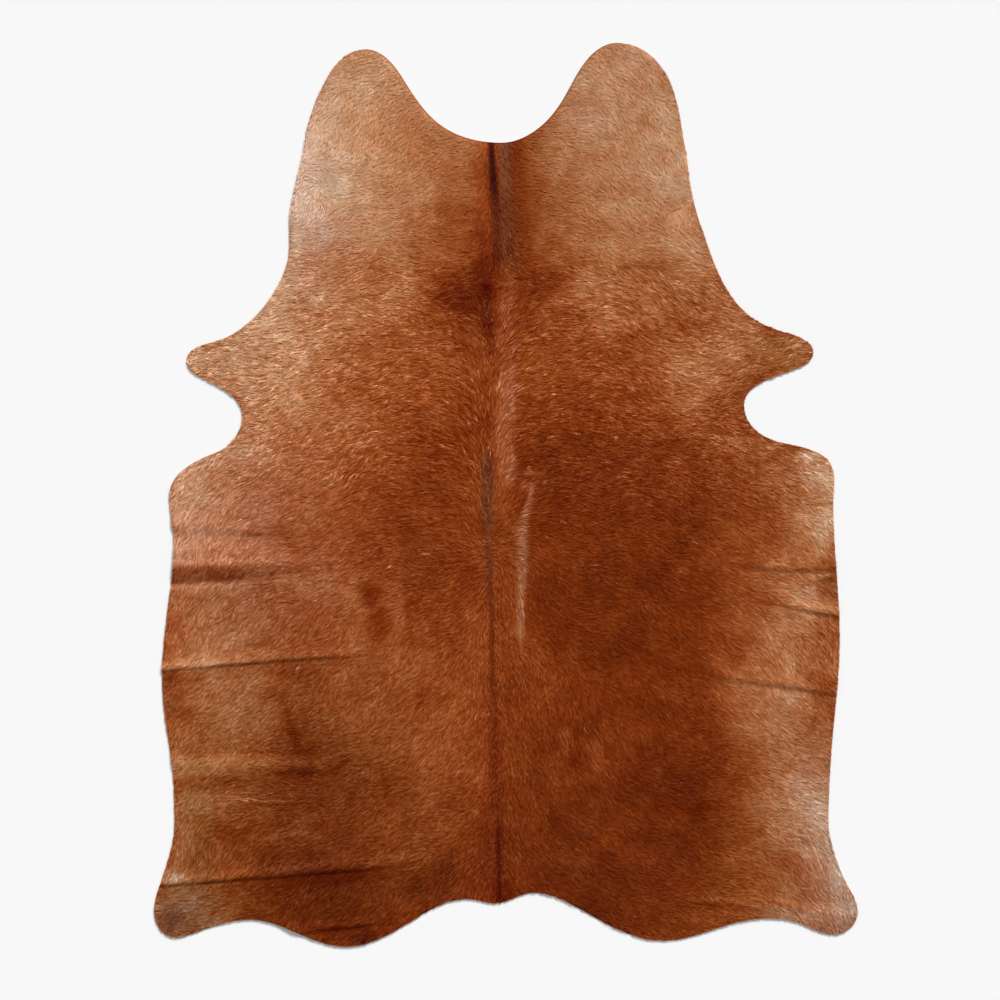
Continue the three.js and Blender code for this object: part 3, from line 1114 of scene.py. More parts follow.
@dataclass(frozen=True)
class Line:
    """A line along a run of points: x, y, half width, in millimetres, and the light added."""

    points: tuple[tuple[float, float, float, float], ...]
    edge: float = 2.6

    def light_at(self, x: np.ndarray, y: np.ndarray) -> np.ndarray:
        """Screen levels added: light times exp(-0.7 d ^ edge), for the nearest stretch of the run.

        d is the distance to the stretch, over the half width there. The light runs evenly from
        each point's to the next's.

        Args:
            x: places across the hide, in metres.
            y: places along the hide, in metres.

        Returns:
            The levels at each place.
        """
        added = np.zeros_like(x)
        table = np.array(self.points) * np.array([MM, MM, MM, 1.0])
        reach = REACH * table[:, 2].max()
        low = table[:, :2].min(axis=0) - reach
        high = table[:, :2].max(axis=0) + reach
        near = np.nonzero((x > low[0]) & (x < high[0]) & (y > low[1]) & (y < high[1]))
        px = x[near]
        py = y[near]
        ratio = np.full(len(px), FAR_OFF)
        light = np.zeros(len(px))
        for start, end in zip(table[:-1], table[1:]):
            step = end - start
            square = step[0] ** 2 + step[1] ** 2
            share = ((px - start[0]) * step[0] + (py - start[1]) * step[1]) / square
            share = np.clip(share, 0.0, 1.0)
            gap = np.hypot(px - start[0] - share * step[0], py - start[1] - share * step[1])
            gap = gap / (start[2] + share * step[2])
            light = np.where(gap < ratio, start[3] + share * step[3], light)
            ratio = np.minimum(ratio, gap)
        added[near] = light * np.exp(-EDGE_FALL * ratio**self.edge)
        return added


# Painted crease shading: painted highlights along the crests and at some feet, and painted shade on the
# faces that fall towards the tail and at the feet, from the flank inwards.
CREASE_SHADING = (
    # the wedge on the left
    Line(
        (
            (-835, -172, 4, 14), (-715, -167, 6, 26), (-602, -163, 8, 20), (-490, -161, 8, 6),
            (-400, -156, 6, 0),
        ),
    ),
    Line(
        (
            (-540, -173, 4, 0), (-490, -172, 4, -8), (-390, -170, 4, -8), (-290, -160, 4, -5),
            (-180, -152, 3, 0),
        ),
    ),
    Line(
        (
            (-850, -202, 21, -32), (-760, -199, 19, -32), (-680, -199, 17, -29), (-610, -194, 12, -2),
            (-520, -184, 8, -5),
        ),
        edge=6.0,
    ),
    Line(((-850, -219, 6, -14), (-715, -217, 6, -12), (-602, -204, 5, -7), (-540, -190, 4, 0))),
    Line(
        (
            (-838, -231, 5, 14), (-715, -228, 5, 14), (-602, -218, 5, 12), (-470, -207, 5, 8),
            (-380, -192, 4, 0),
        ),
    ),
    # above and below it
    Line(
        (
            (-760, -86, 4, 0), (-700, -92, 5, -10), (-650, -97, 6, -18), (-600, -102, 4, -8),
            (-400, -112, 3, 0),
        ),
    ),
    Line(
        (
            (-840, -256, 6, 0), (-790, -259, 7, -12), (-700, -263, 6, -10), (-620, -262, 5, -6),
            (-520, -255, 4, 0),
        ),
    ),
    # the long crease below the wedge
    Line(
        (
            (-860, -432, 12, 38), (-800, -428, 11, 24), (-715, -418, 10, 16), (-602, -406, 8, 10),
            (-490, -398, 8, 9), (-390, -388, 8, 5), (-320, -382, 6, 0),
        ),
    ),
    Line(
        (
            (-855, -443, 4, 6), (-770, -439, 4, -7), (-715, -431, 4.5, -15), (-602, -421, 4.5, -15),
            (-540, -417, 4, -8), (-490, -414, 4, 1), (-390, -406, 4.5, -20), (-330, -400, 4, -7),
            (-290, -397, 3, 0),
        ),
    ),
    Line(
        (
            (-850, -462, 16, -9), (-740, -450, 13, -12), (-600, -437, 13, -10), (-480, -428, 12, -2),
            (-380, -420, 12, 0),
        ),
    ),
    # the lowest long crease
    Line(
        (
            (-860, -962, 13, 16), (-765, -957, 10, 13), (-640, -940, 8, 12), (-515, -930, 7, 11),
            (-390, -919, 8, 5), (-265, -909, 9, 9), (-210, -905, 7, 0),
        ),
    ),
    Line(
        (
            (-862, -978, 3.5, -18), (-765, -971, 4, -16), (-700, -966, 4, -8), (-640, -961, 4, -6),
            (-515, -951, 4, -5), (-450, -946, 5, -12), (-390, -941, 5, -21), (-265, -927, 5, -12),
            (-215, -922, 4, 0),
        ),
    ),
    Line(
        (
            (-858, -1000, 12, -4), (-765, -992, 14, -3), (-640, -978, 16, -5), (-515, -970, 18, -9),
            (-390, -956, 14, -14), (-265, -946, 13, -9), (-220, -940, 10, 0),
        ),
    ),
    Line(((-490, -1093, 3, -8), (-440, -1085, 4, -18), (-353, -1080, 4, -16), (-265, -1068, 3, -4))),
    Line(((-610, -671, 8, 0), (-560, -674, 9, 11), (-480, -679, 9, 10), (-420, -681, 7, 0))),
    Line(((-600, -697, 10, 0), (-540, -696, 13, -12), (-440, -692, 13, -11), (-380, -690, 10, 0))),
    # the right flank
    Line(
        (
            (520, -170, 2.5, 0), (560, -174, 3, -8), (585, -177, 3, -15), (640, -180, 3, -8),
            (690, -184, 3, 0),
        ),
    ),
    Line(((690, -184, 3, -3), (740, -186, 4, -8), (790, -186, 4, -20), (834, -184, 5, -32))),
    Line(((765, -176, 2, 8), (834, -175, 2, 14))),
    Line(((700, -228, 3, 0), (760, -213, 4, -12), (830, -203, 5, -10))),
    Line(
        (
            (600, -262, 4, 0), (650, -268, 5, -22), (673, -274, 4, -17), (735, -287, 3, -12),
            (826, -305, 3, -20),
        ),
    ),
    Line(((690, -264, 5, 4), (735, -272, 5, 12), (826, -288, 5, 7))),
    Line(((770, -298, 8, 0), (826, -316, 12, -12))),
    Line(
        (
            (360, -424, 4, 0), (385, -428, 5, -8), (485, -445, 4, -5), (585, -456, 6, -3),
            (640, -468, 5, -6),
        ),
    ),
    Line(((640, -468, 5, -6), (685, -477, 6, -18), (810, -500, 5, -17), (836, -504, 5, -10))),
    Line(((640, -448, 9, 0), (685, -457, 10, -16), (740, -468, 9, 0))),
    Line(((750, -26, 4, 0), (780, -24, 4, -18), (825, -20, 3, -16))),
    # the right hind leg
    Line(((340, -1006, 4, 0), (390, -1020, 4, 10), (450, -1038, 4, 0))),
    Line(
        (
            (470, -1002, 5, 0), (530, -1009, 5, 11), (620, -1024, 6, 11), (720, -1044, 6, 9),
            (820, -1056, 6, 4),
        ),
    ),
    Line(((460, -1020, 5, 0), (530, -1030, 5, -9), (620, -1042, 5, -9), (700, -1060, 5, 0))),
)
# Scars, rubbed places and stains.
SCARS = (
    Line(((40, -130, 12, 8), (28, -95, 9, 8))),
    Line(((36, -390, 10, 7), (34, -480, 14, 7))),
    Line(((84, -370, 6, 4), (88, -440, 8, 9), (110, -500, 6, 4))),
    Smudge(59, 56, 9, 6, 56),
    Smudge(50, 24, 9, 12, 36, turn=20),
    Line(((8, -84, 4, 6), (40, -84, 4, 22))),
    Line(((648, -175, 4, 28), (693, -172, 5, 28))),
    Line(((700, -178, 3, 24), (715, -186, 4, 24))),
    Line(((743, 25, 3, 19), (765, -5, 3, 19))),
    Smudge(440, -190, 13, 5, 18),
    Smudge(430, 90, 9, 7, 28),
    Line(((410, 155, 5, 7), (480, 150, 5, 15), (545, 142, 6, 15), (600, 128, 5, 7))),
    Line(((365, -270, 7, 5), (362, -330, 8, 11), (370, -390, 6, 5))),
    Smudge(800, -172, 32, 13, -34),
    Smudge(760, -458, 8, 14, -30, turn=-15),
    Smudge(722, -388, 12, 10, -10),
    Smudge(450, 415, 45, 25, -13),
    Smudge(515, 432, 11, 7, -16),
    Smudge(295, 567, 14, 8, -22),
    Line(((300, 580, 10, -4), (400, 576, 14, -9), (490, 585, 8, -4))),
    Line(((330, 1015, 6, -7), (440, 1010, 6, -7))),
    Smudge(-338, 1008, 7, 11, 34, turn=-30),
    Smudge(-360, 968, 15, 12, 6),
    Line(((-180, 795, 2, -27), (-158, 798, 2, -27))),
    Smudge(-148, 713, 26, 18, -13),
    Line(((-170, 750, 3, 8), (-40, 750, 3, 8))),
    Line(((-128, 692, 3, 8), (-40, 695, 3, 8))),
    Smudge(-80, 668, 45, 9, 10),
    Line(((-128, 674, 2.5, 12), (-103, 648, 2.5, 12))),
    Line(((-155, 588, 3, 10), (-40, 585, 3, 10))),
    Smudge(-487, 812, 22, 55, 8, edge=6.0),
    Line(((-464, 872, 3, 7), (-463, 770, 3, 7))),
    Line(((-650, -128, 3, 8), (-628, -90, 3, 8))),
    Line(((-790, -750, 8, 5), (-695, -758, 6, 11), (-640, -765, 4, 5))),
    Line(((-700, -755, 3, 14), (-640, -762, 3, 27), (-600, -768, 2.5, 26), (-475, -766, 2, 12))),
    Line(((-690, -782, 5, -6), (-600, -777, 4, -13), (-475, -773, 3, -6))),
    Line(((-590, -853, 3, 17), (-480, -798, 3, 17))),
    Line(((-620, -868, 7, 9), (-560, -852, 7, 21), (-500, -843, 6, 10))),
    Line(((-740, -848, 2.5, 21), (-705, -903, 2.5, 21))),
    Smudge(-7, -1003, 26, 30, -20),
    Smudge(-668, -828, 7, 6, 20),
    Smudge(-683, -918, 8, 6, 20),
    Line(((-720, -848, 9, -6), (-660, -842, 9, -12), (-600, -826, 8, -6))),
)
# Softer shading on the back, the loins and the flanks.
SMUDGES = (
    Smudge(-500, -1060, 230, 60, -5),
    Smudge(-165, -480, 70, 75, -5),
    Smudge(585, -975, 70, 90, 5),
    Smudge(-545, -555, 10, 26, -14, turn=15),
    Smudge(-532, -600, 11, 34, -24, turn=12),
    Smudge(-500, -640, 26, 12, -12),
    Smudge(-405, -665, 24, 9, -18, turn=40),
    Smudge(-300, -735, 9, 48, -13, turn=12, edge=4.0),
    Smudge(-218, -525, 9, 55, -13, turn=-10, edge=4.0),
    Smudge(-340, -248, 30, 30, -34, edge=4.0),
    Smudge(-320, -318, 27, 40, -18, edge=4.0),
    Smudge(-243, -310, 13, 60, -10),
    Smudge(-280, -300, 13, 60, 9),
    Smudge(-55, 578, 26, 46, -16),
    Smudge(-48, 512, 24, 26, -22, edge=4.0),
    Smudge(-150, 481, 52, 30, -14),
    Smudge(-40, 424, 17, 9, -24),
    Smudge(193, -838, 26, 20, 12),
    Smudge(178, -913, 28, 18, 12),
    Smudge(218, -655, 20, 42, 12),
    Smudge(148, -613, 14, 42, 9),
    Smudge(173, -660, 18, 22, -11),
    Smudge(460, -783, 110, 13, -9),
)


@dataclass(frozen=True)
class MarksAndShading:
    """Everything that lightens or darkens single places of the coat: the painted highlight and shade of
    the creases, scars, smudges and pale flecks.
    """

    shapes: tuple = CREASE_SHADING + SCARS + SMUDGES
    flecks: int = 27
    fleck_seed: int = 43
    fleck_middle: tuple[float, float] = (-0.08, 0.12)
    fleck_spread: tuple[float, float] = (0.36, 0.33)
    fleck_size: float = 2.4 * MM
    fleck_light: float = 95.0
    sway: Noise = Noise(0.03, 41)
    sway_back: Noise = Noise(0.03, 42)
    push: float = 2.5 * MM
    push_back: float = 1.2 * MM

    def light(self, x: np.ndarray, y: np.ndarray) -> np.ndarray:
        """Screen levels added by all marks, read at places pushed about a little by noise.

        Pale flecks are scattered at random about the shoulders, where they are most frequent.

        Args:
            x: places across the hide.
            y: places along the hide.

        Returns:
            The levels at each place.
        """
        wx = x + self.push * self.sway.at(x, y)
        wy = y + self.push_back * self.sway_back.at(x, y)
        added = np.zeros_like(x)
        for shape in self.shapes:
            added += shape.light_at(wx, wy)
        rng = np.random.default_rng(self.fleck_seed)
        for fx, fy in rng.normal(self.fleck_middle, self.fleck_spread, (self.flecks, 2)):
            added += self.fleck_light * (np.hypot(x - fx, y - fy) < self.fleck_size)
        return added


# The coat's colours from dark chestnut to pale fawn: tone, then red, green and blue on screen.
TONES = (
    (-0.3, 52, 10, 2),
    (0.0, 88, 26, 4),
    (0.1, 101, 34, 6),
    (0.25, 120, 47, 10),
    (0.5, 146, 71, 29),
    (0.75, 177, 113, 74),
    (1.0, 205, 165, 136),
    (1.2, 223, 195, 175),
)


@dataclass(frozen=True)
class CoatColour:
    """The colour of the coat at each place, before single tufts differ from each other."""

    base: float = 0.48
    warp: Noise = Noise(0.13, 31)
    warp_back: Noise = Noise(0.13, 32)
    broad: Noise = Noise(0.12, 33)
    middle: Noise = Noise(0.045, 34)
    fine: Noise = Noise(0.018, 35)
    patch_push: float = 0.022
    spot_push: float = 0.005
    broad_share: float = 0.03
    middle_share: float = 0.045
    fine_share: float = 0.032
    strands: Noise = Noise(0.003, 36, 997)
    # The waves along the hair: their crests are painted paler and their troughs darker, as light and
    # shade.
    waves: Noise = Noise(0.0052, 37, 797)
    streak_gain: float = 1.25
    crest: float = 1.15
    trough: float = 0.88
    least_wavy: float = 0.12
    spread: float = 11.8
    shoulder_spread: float = 4.8
    neck_spread: float = 5.6
    loin_spread: float = 2.0
    rose_tint: tuple[float, float, float] = (3.0, -3.0, 6.0)
    grey_tint: tuple[float, float, float] = (-14.0, 2.0, 15.0)
    light_tint: tuple[float, float, float] = (1.0, 1.1, 1.15)
    least_grey: float = 0.3
    albedo: tuple[float, float, float] = (1.16, 1.145, 1.045)

    def fields(self, x: np.ndarray, y: np.ndarray) -> tuple[np.ndarray, np.ndarray, np.ndarray]:
        """Tone, rose and grey at each place.

        Patches are read at places pushed about by noise, so that none is a plain oval, and spots
        at places pushed less. The tints and a slight unevenness are added before the stripes.

        Args:
            x: places across the hide.
            y: places along the hide.

        Returns:
            The three fields.
        """
        tone = np.full_like(x, self.base)
        rose = np.zeros_like(x)
        grey = np.zeros_like(x)
        fields = (tone, rose, grey)
        push = self.warp.at(x, y)
        push_back = self.warp_back.at(x, y)
        pushed = (x + self.patch_push * push, y + self.patch_push * push_back)
        self._cover(fields, REGIONS + PATCHES, *pushed)
        self._cover(fields, SPOTS, x + self.spot_push * push, y + self.spot_push * push_back)
        for tint in TINTS:
            share = tint.share(*pushed)
            rose += share * tint.rose
            grey += share * tint.grey
        tone += (
            self.broad_share * self.broad.at(x, y)
            + self.middle_share * self.middle.at(x, y)
            + self.fine_share * self.fine.at(x, y)
        )
        self._cover(fields, STRIPES, x, y)
        return fields

    def _cover(
        self, fields: tuple[np.ndarray, ...], parts: tuple, x: np.ndarray, y: np.ndarray
    ) -> None:
        """Lays parts over the fields one after another: each replaces its share of what is there.

        Args:
            fields: tone, rose and grey, which are changed.
            parts: the regions, patches, spots or stripes.
            x: where they are read, across the hide.
            y: where they are read, along the hide.
        """
        for part in parts:
            share = part.share(x, y)
            for field, value in zip(fields, (part.tone, part.rose, part.grey)):
                field += share * (value - field)

    def streaks(
        self, noise: Noise, stride: float, x: np.ndarray, y: np.ndarray, dx: np.ndarray, dy: np.ndarray
    ) -> np.ndarray:
        """Unevenness drawn out along the hair: noise at five places on its line.

        The five are added and brought back to a spread of about 1, and crests are made 1.3 times
        as strong as troughs.

        Args:
            noise: the unevenness across the hair.
            stride: how far apart the places are.
            x: places across the hide.
            y: places along the hide.
            dx: the hair's direction across the hide.
            dy: the hair's direction along the hide.

        Returns:
            The streaks, mostly from -2 to 2.
        """
        total = np.zeros_like(x)
        for step in (-2, -1, 0, 1, 2):
            away = step * stride
            total += noise.at(x + dx * away, y + dy * away)
        total = total / self.streak_gain
        return np.where(total > 0.0, self.crest, self.trough) * total

    def waviness(self, y: np.ndarray) -> np.ndarray:
        """How far the hair lies in waves, with their painted highlight and shade: fully on the
        shoulders, hardly elsewhere.

        Args:
            y: places along the hide.

        Returns:
            The share, from 0 to 1.
        """
        shoulders = smooth_step(y, -0.12, 0.12) * (1.0 - 0.8 * smooth_step(y, 0.5, 0.75))
        return self.least_wavy + (1.0 - self.least_wavy) * shoulders

    def unevenness(self, x: np.ndarray, y: np.ndarray, tone: np.ndarray) -> np.ndarray:
        """How much the hairs differ: most on the shoulders, least on the neck and in dark places.

        Args:
            x: places across the hide.
            y: places along the hide.
            tone: the coat's tone at each place.

        Returns:
            The spread, in screen levels.
        """
        neck = smooth_step(y, 0.45, 0.7)
        shoulders = smooth_step(y, -0.12, 0.15) * (1.0 - neck)
        right_loin = smooth_step(x, -0.05, 0.1) * (1.0 - smooth_step(y, -0.2, 0.1))
        right_loin = right_loin * (1.0 - smooth_step(x, 0.6, 0.75))
        spread = (
            self.spread
            + self.shoulder_spread * shoulders
            - self.neck_spread * neck
            - self.loin_spread * right_loin
        )
        return spread * np.clip(0.6 + 0.8 * tone, 0.6, 1.15)

    def colour(
        self, tone: np.ndarray, rose: np.ndarray, grey: np.ndarray, light: np.ndarray
    ) -> np.ndarray:
        """Linear colours: the ramp at the tone, tinted, then lightened or darkened.

        Args:
            tone: about 0 where it is dark and about 1 where it is pale.
            rose: how pink it is, or below 0 how orange.
            grey: how much the red gives way to blue, which is less where the coat is dark.
            light: screen levels added, a little more to green and blue than to red.

        Returns:
            Colours of shape (..., 3).
        """
        ramp = np.array(TONES, float)
        screen = np.stack([np.interp(tone, ramp[:, 0], ramp[:, k]) for k in (1, 2, 3)], axis=-1)
        screen += rose[..., None] * np.array(self.rose_tint)
        dull = grey * np.clip(self.least_grey + tone, self.least_grey, 1.0)
        screen += dull[..., None] * np.array(self.grey_tint)
        screen += light[..., None] * np.array(self.light_tint)
        return linear(screen) * np.array(self.albedo)


def mesh_from(name: str, points: np.ndarray, sizes: np.ndarray, corners: np.ndarray) -> bpy.types.Mesh:
    """A mesh from whole arrays of points and faces.

    Args:
        name: the mesh's name.
        points: places of shape (n, 3).
        sizes: how many corners each face has.
        corners: the faces' corners one after another.

    Returns:
        The mesh, smooth shaded.
    """
    mesh = bpy.data.meshes.new(name)
    mesh.vertices.add(len(points))
    mesh.vertices.foreach_set("co", points.astype(np.float32).ravel())
    mesh.loops.add(len(corners))
    mesh.loops.foreach_set("vertex_index", corners.astype(np.int32))
    mesh.polygons.add(len(sizes))
    starts = np.concatenate([[0], np.cumsum(sizes)[:-1]])
    mesh.polygons.foreach_set("loop_start", starts.astype(np.int32))
    mesh.polygons.foreach_set("use_smooth", np.ones(len(sizes), bool))
    mesh.update(calc_edges=True)
    mesh.validate()
    return mesh


def paint(mesh: bpy.types.Mesh, name: str, colours: np.ndarray) -> None:
    """Stores linear colours on a mesh's points.

    Args:
        mesh: the mesh.
        name: the attribute that holds them.
        colours: the colours, of shape (points, 3).
    """
    layer = mesh.color_attributes.new(name=name, type="FLOAT_COLOR", domain="POINT")
    full = np.concatenate([colours, np.ones((len(colours), 1))], axis=1)
    layer.data.foreach_set("color", full.astype(np.float32).ravel())


def place(mesh: bpy.types.ID, name: str) -> bpy.types.Object:
    """Puts a mesh, a light or a camera into the scene as an object at the origin.

    Args:
        mesh: what the object shows.
        name: the object's name.

    Returns:
        The object.
    """
    obj = bpy.data.objects.new(name, mesh)
    bpy.context.scene.collection.objects.link(obj)
    return obj


class Graph:
    """A node tree that is being wired up."""

    def __init__(self, tree: bpy.types.NodeTree) -> None:
        """Keeps the tree that the nodes go into."""
        self.tree = tree

    def add(self, kind: str, settings: dict[str, Any] | None = None, **values: Any) -> bpy.types.Node:
        """Adds a node.

        Args:
            kind: Blender's name for the node type.
            settings: the node's own options.
            values: its sockets' plain values, with _ for a space in a socket's name.

        Returns:
            The node.
        """
        node = self.tree.nodes.new(kind)
        for option, value in (settings or {}).items():
            setattr(node, option, value)
        for socket, value in values.items():
            node.inputs[socket.replace("_", " ")].default_value = value
        return node

    def link(self, source: bpy.types.NodeSocket, target: bpy.types.NodeSocket) -> None:
        """Joins an output to an input."""
        self.tree.links.new(source, target)


def new_material(name: str) -> tuple[bpy.types.Material, Graph, bpy.types.Node]:
    """A material with one Principled shader.

    Args:
        name: the material's name.

    Returns:
        The material, its graph and its shader node.
    """
    material = bpy.data.materials.new(name)
    material.use_nodes = True
    material.node_tree.nodes.clear()
    graph = Graph(material.node_tree)
    shader = graph.add("ShaderNodeBsdfPrincipled")
    output = graph.add("ShaderNodeOutputMaterial")
    graph.link(shader.outputs["BSDF"], output.inputs["Surface"])
    return material, graph, shader


class GroupName(Enum):
    """The shader groups that more than one finish uses."""

    MOTTLE = "uneven_tone"
    NAP = "fine_nap"


class SharedGroups:
    """Builds each shared shader group once and hands it out."""

    def __init__(self) -> None:
        """Makes both groups."""
        self.trees = {GroupName.MOTTLE: self._mottle(), GroupName.NAP: self._nap()}

    def _start(self, name: GroupName, inputs: tuple, outputs: tuple) -> tuple[Graph, Any, Any]:
        """Opens a group with named sockets.

        Args:
            name: the group's name.
            inputs: name, socket type and value of each input.
            outputs: name and socket type of each output.

        Returns:
            The graph, and its input and output nodes.
        """
        tree = bpy.data.node_groups.new(name.value, "ShaderNodeTree")
        for label, kind, value in inputs:
            socket = tree.interface.new_socket(name=label, in_out="INPUT", socket_type=kind)
            socket.default_value = value
        for label, kind in outputs:
            tree.interface.new_socket(name=label, in_out="OUTPUT", socket_type=kind)
        graph = Graph(tree)
        return graph, graph.add("NodeGroupInput"), graph.add("NodeGroupOutput")

    def _mottle(self) -> bpy.types.NodeTree:
        """A colour made lighter and darker in soft lumps, with the lumps as a value from 0 to 1.

        Returns:
            The group.
        """
        graph, entry, leave = self._start(
            GroupName.MOTTLE,
            (
                ("Colour", "NodeSocketColor", (0.5, 0.5, 0.5, 1.0)),
                ("Scale", "NodeSocketFloat", 30.0),
                ("Darkest", "NodeSocketFloat", 0.8),
                ("Lightest", "NodeSocketFloat", 1.2),
            ),
            (("Colour", "NodeSocketColor"), ("Lumps", "NodeSocketFloat")),
        )
        coords = graph.add("ShaderNodeTexCoord")
        noise = graph.add("ShaderNodeTexNoise", Detail=3.0, Roughness=0.6)
        spread = graph.add("ShaderNodeMapRange", From_Min=0.3, From_Max=0.7)
        gain = graph.add("ShaderNodeMapRange")
        shade = graph.add("ShaderNodeVectorMath", {"operation": "SCALE"})
        graph.link(coords.outputs["Object"], noise.inputs["Vector"])
        graph.link(entry.outputs["Scale"], noise.inputs["Scale"])
        graph.link(noise.outputs["Fac"], spread.inputs["Value"])
        graph.link(spread.outputs["Result"], gain.inputs["Value"])
        graph.link(entry.outputs["Darkest"], gain.inputs["To Min"])
        graph.link(entry.outputs["Lightest"], gain.inputs["To Max"])
        graph.link(entry.outputs["Colour"], shade.inputs[0])
        graph.link(gain.outputs["Result"], shade.inputs["Scale"])
        graph.link(shade.outputs["Vector"], leave.inputs["Colour"])
        graph.link(spread.outputs["Result"], leave.inputs["Lumps"])
        return graph.tree

    def _nap(self) -> bpy.types.NodeTree:
        """Short raised fibres as a height from 0 to 1, fine grain over broader lumps.

        Returns:
            The group.
        """
        graph, entry, leave = self._start(
            GroupName.NAP,
            (
                ("Grain", "NodeSocketFloat", 900.0),
                ("Lumps", "NodeSocketFloat", 60.0),
                ("Lump Share", "NodeSocketFloat", 0.4),
            ),
            (("Height", "NodeSocketFloat"),),
        )
        coords = graph.add("ShaderNodeTexCoord")
        grain = graph.add("ShaderNodeTexNoise", Detail=2.0, Roughness=0.7)
        lumps = graph.add("ShaderNodeTexNoise", Detail=4.0, Roughness=0.5)
        blend = graph.add("ShaderNodeMix", {"data_type": "FLOAT"})
        for node, socket in ((grain, "Grain"), (lumps, "Lumps")):
            graph.link(coords.outputs["Object"], node.inputs["Vector"])
            graph.link(entry.outputs[socket], node.inputs["Scale"])
        graph.link(entry.outputs["Lump Share"], blend.inputs[0])
        graph.link(grain.outputs["Fac"], blend.inputs[2])
        graph.link(lumps.outputs["Fac"], blend.inputs[3])
        graph.link(blend.outputs[0], leave.inputs["Height"])
        return graph.tree

    def put(self, graph: Graph, name: GroupName, **values: Any) -> bpy.types.Node:
        """Places a group in a finish.

        Args:
            graph: the finish's graph.
            name: which group.
            values: its inputs' plain values, with _ for a space.

        Returns:
            The group's node.
        """
        node = graph.add("ShaderNodeGroup", {"node_tree": self.trees[name]})
        for socket, value in values.items():
            node.inputs[socket.replace("_", " ")].default_value = value
        return node


@dataclass(frozen=True)
class HairFinish:
    """Glossy short hair in the colours painted on its tufts."""

    roughest: float = 0.62
    smoothest: float = 0.46
    specular: float = 0.08
    gloss_tint: tuple[float, float, float, float] = (1.0, 0.72, 0.5, 1.0)

    def material(self, groups: SharedGroups) -> bpy.types.Material:
        """Painted colour in faint lumps, and a gloss that changes with the same lumps.

        Args:
            groups: the shared shader groups.

        Returns:
            The material.
        """
        material, graph, shader = new_material("cow_hair")
        painted = graph.add("ShaderNodeAttribute", {"attribute_name": "coat"})
        mottle = groups.put(graph, GroupName.MOTTLE, Scale=26.0, Darkest=0.93, Lightest=1.07)
        gloss = graph.add("ShaderNodeMapRange", To_Min=self.roughest, To_Max=self.smoothest)
        graph.link(painted.outputs["Color"], mottle.inputs["Colour"])
        graph.link(mottle.outputs["Colour"], shader.inputs["Base Color"])
        graph.link(mottle.outputs["Lumps"], gloss.inputs["Value"])
        graph.link(gloss.outputs["Result"], shader.inputs["Roughness"])
        shader.inputs["Specular IOR Level"].default_value = self.specular
        shader.inputs["Specular Tint"].default_value = self.gloss_tint
        return material


@dataclass(frozen=True)
class GrainFinish:
    """The skin under the hair, in the coat's colours painted darker as shade under the hair."""

    roughness: float = 0.8
    specular: float = 0.1

    def material(self, groups: SharedGroups) -> bpy.types.Material:
        """The coat's colour painted darker as shade under the hair, with fine pores.

        Args:
            groups: the shared shader groups.

        Returns:
            The material.
        """
        material, graph, shader = new_material("hide_grain_side")
        painted = graph.add("ShaderNodeAttribute", {"attribute_name": "coat"})
        mottle = groups.put(graph, GroupName.MOTTLE, Scale=180.0, Darkest=0.7, Lightest=1.2)
        nap = groups.put(graph, GroupName.NAP, Grain=700.0, Lumps=90.0, Lump_Share=0.3)
        bump = graph.add("ShaderNodeBump", Strength=0.5, Distance=0.001)
        graph.link(painted.outputs["Color"], mottle.inputs["Colour"])
        graph.link(mottle.outputs["Colour"], shader.inputs["Base Color"])
        graph.link(nap.outputs["Height"], bump.inputs["Height"])
        graph.link(bump.outputs["Normal"], shader.inputs["Normal"])
        shader.inputs["Roughness"].default_value = self.roughness
        shader.inputs["Specular IOR Level"].default_value = self.specular
        return material


@dataclass(frozen=True)
class FleshFinish:
    """The bare under side: pale buffed suede with blotches, as chrome-tanned hides have."""

    colour: tuple[float, float, float, float] = (0.52, 0.42, 0.31, 1.0)
    roughest: float = 0.95
    smoothest: float = 0.78
    specular: float = 0.25

    def material(self, groups: SharedGroups) -> bpy.types.Material:
        """Pale suede in blotches, with a short nap.

        Args:
            groups: the shared shader groups.

        Returns:
            The material.
        """
        material, graph, shader = new_material("hide_flesh_side")
        broad = groups.put(graph, GroupName.MOTTLE, Scale=7.0, Darkest=0.78, Lightest=1.12)
        broad.inputs["Colour"].default_value = self.colour
        small = groups.put(graph, GroupName.MOTTLE, Scale=110.0, Darkest=0.88, Lightest=1.08)
        nap = groups.put(graph, GroupName.NAP, Grain=1100.0, Lumps=45.0, Lump_Share=0.45)
        bump = graph.add("ShaderNodeBump", Strength=0.7, Distance=0.0012)
        gloss = graph.add("ShaderNodeMapRange", To_Min=self.roughest, To_Max=self.smoothest)
        graph.link(broad.outputs["Colour"], small.inputs["Colour"])
        graph.link(small.outputs["Colour"], shader.inputs["Base Color"])
        graph.link(broad.outputs["Lumps"], gloss.inputs["Value"])
        graph.link(gloss.outputs["Result"], shader.inputs["Roughness"])
        graph.link(nap.outputs["Height"], bump.inputs["Height"])
        graph.link(bump.outputs["Normal"], shader.inputs["Normal"])
        shader.inputs["Specular IOR Level"].default_value = self.specular
        return material


@dataclass(frozen=True)
class FloorFinish:
    """A plain pale studio floor."""

    colour: tuple[float, float, float, float] = (0.86, 0.86, 0.86, 1.0)
    roughness: float = 0.9
    specular: float = 0.1

    def material(self) -> bpy.types.Material:
        """One pale, matt colour.

        Returns:
            The material.
        """
        material, _, shader = new_material("studio_floor")
        shader.inputs["Base Color"].default_value = self.colour
        shader.inputs["Roughness"].default_value = self.roughness
        shader.inputs["Specular IOR Level"].default_value = self.specular
        return material


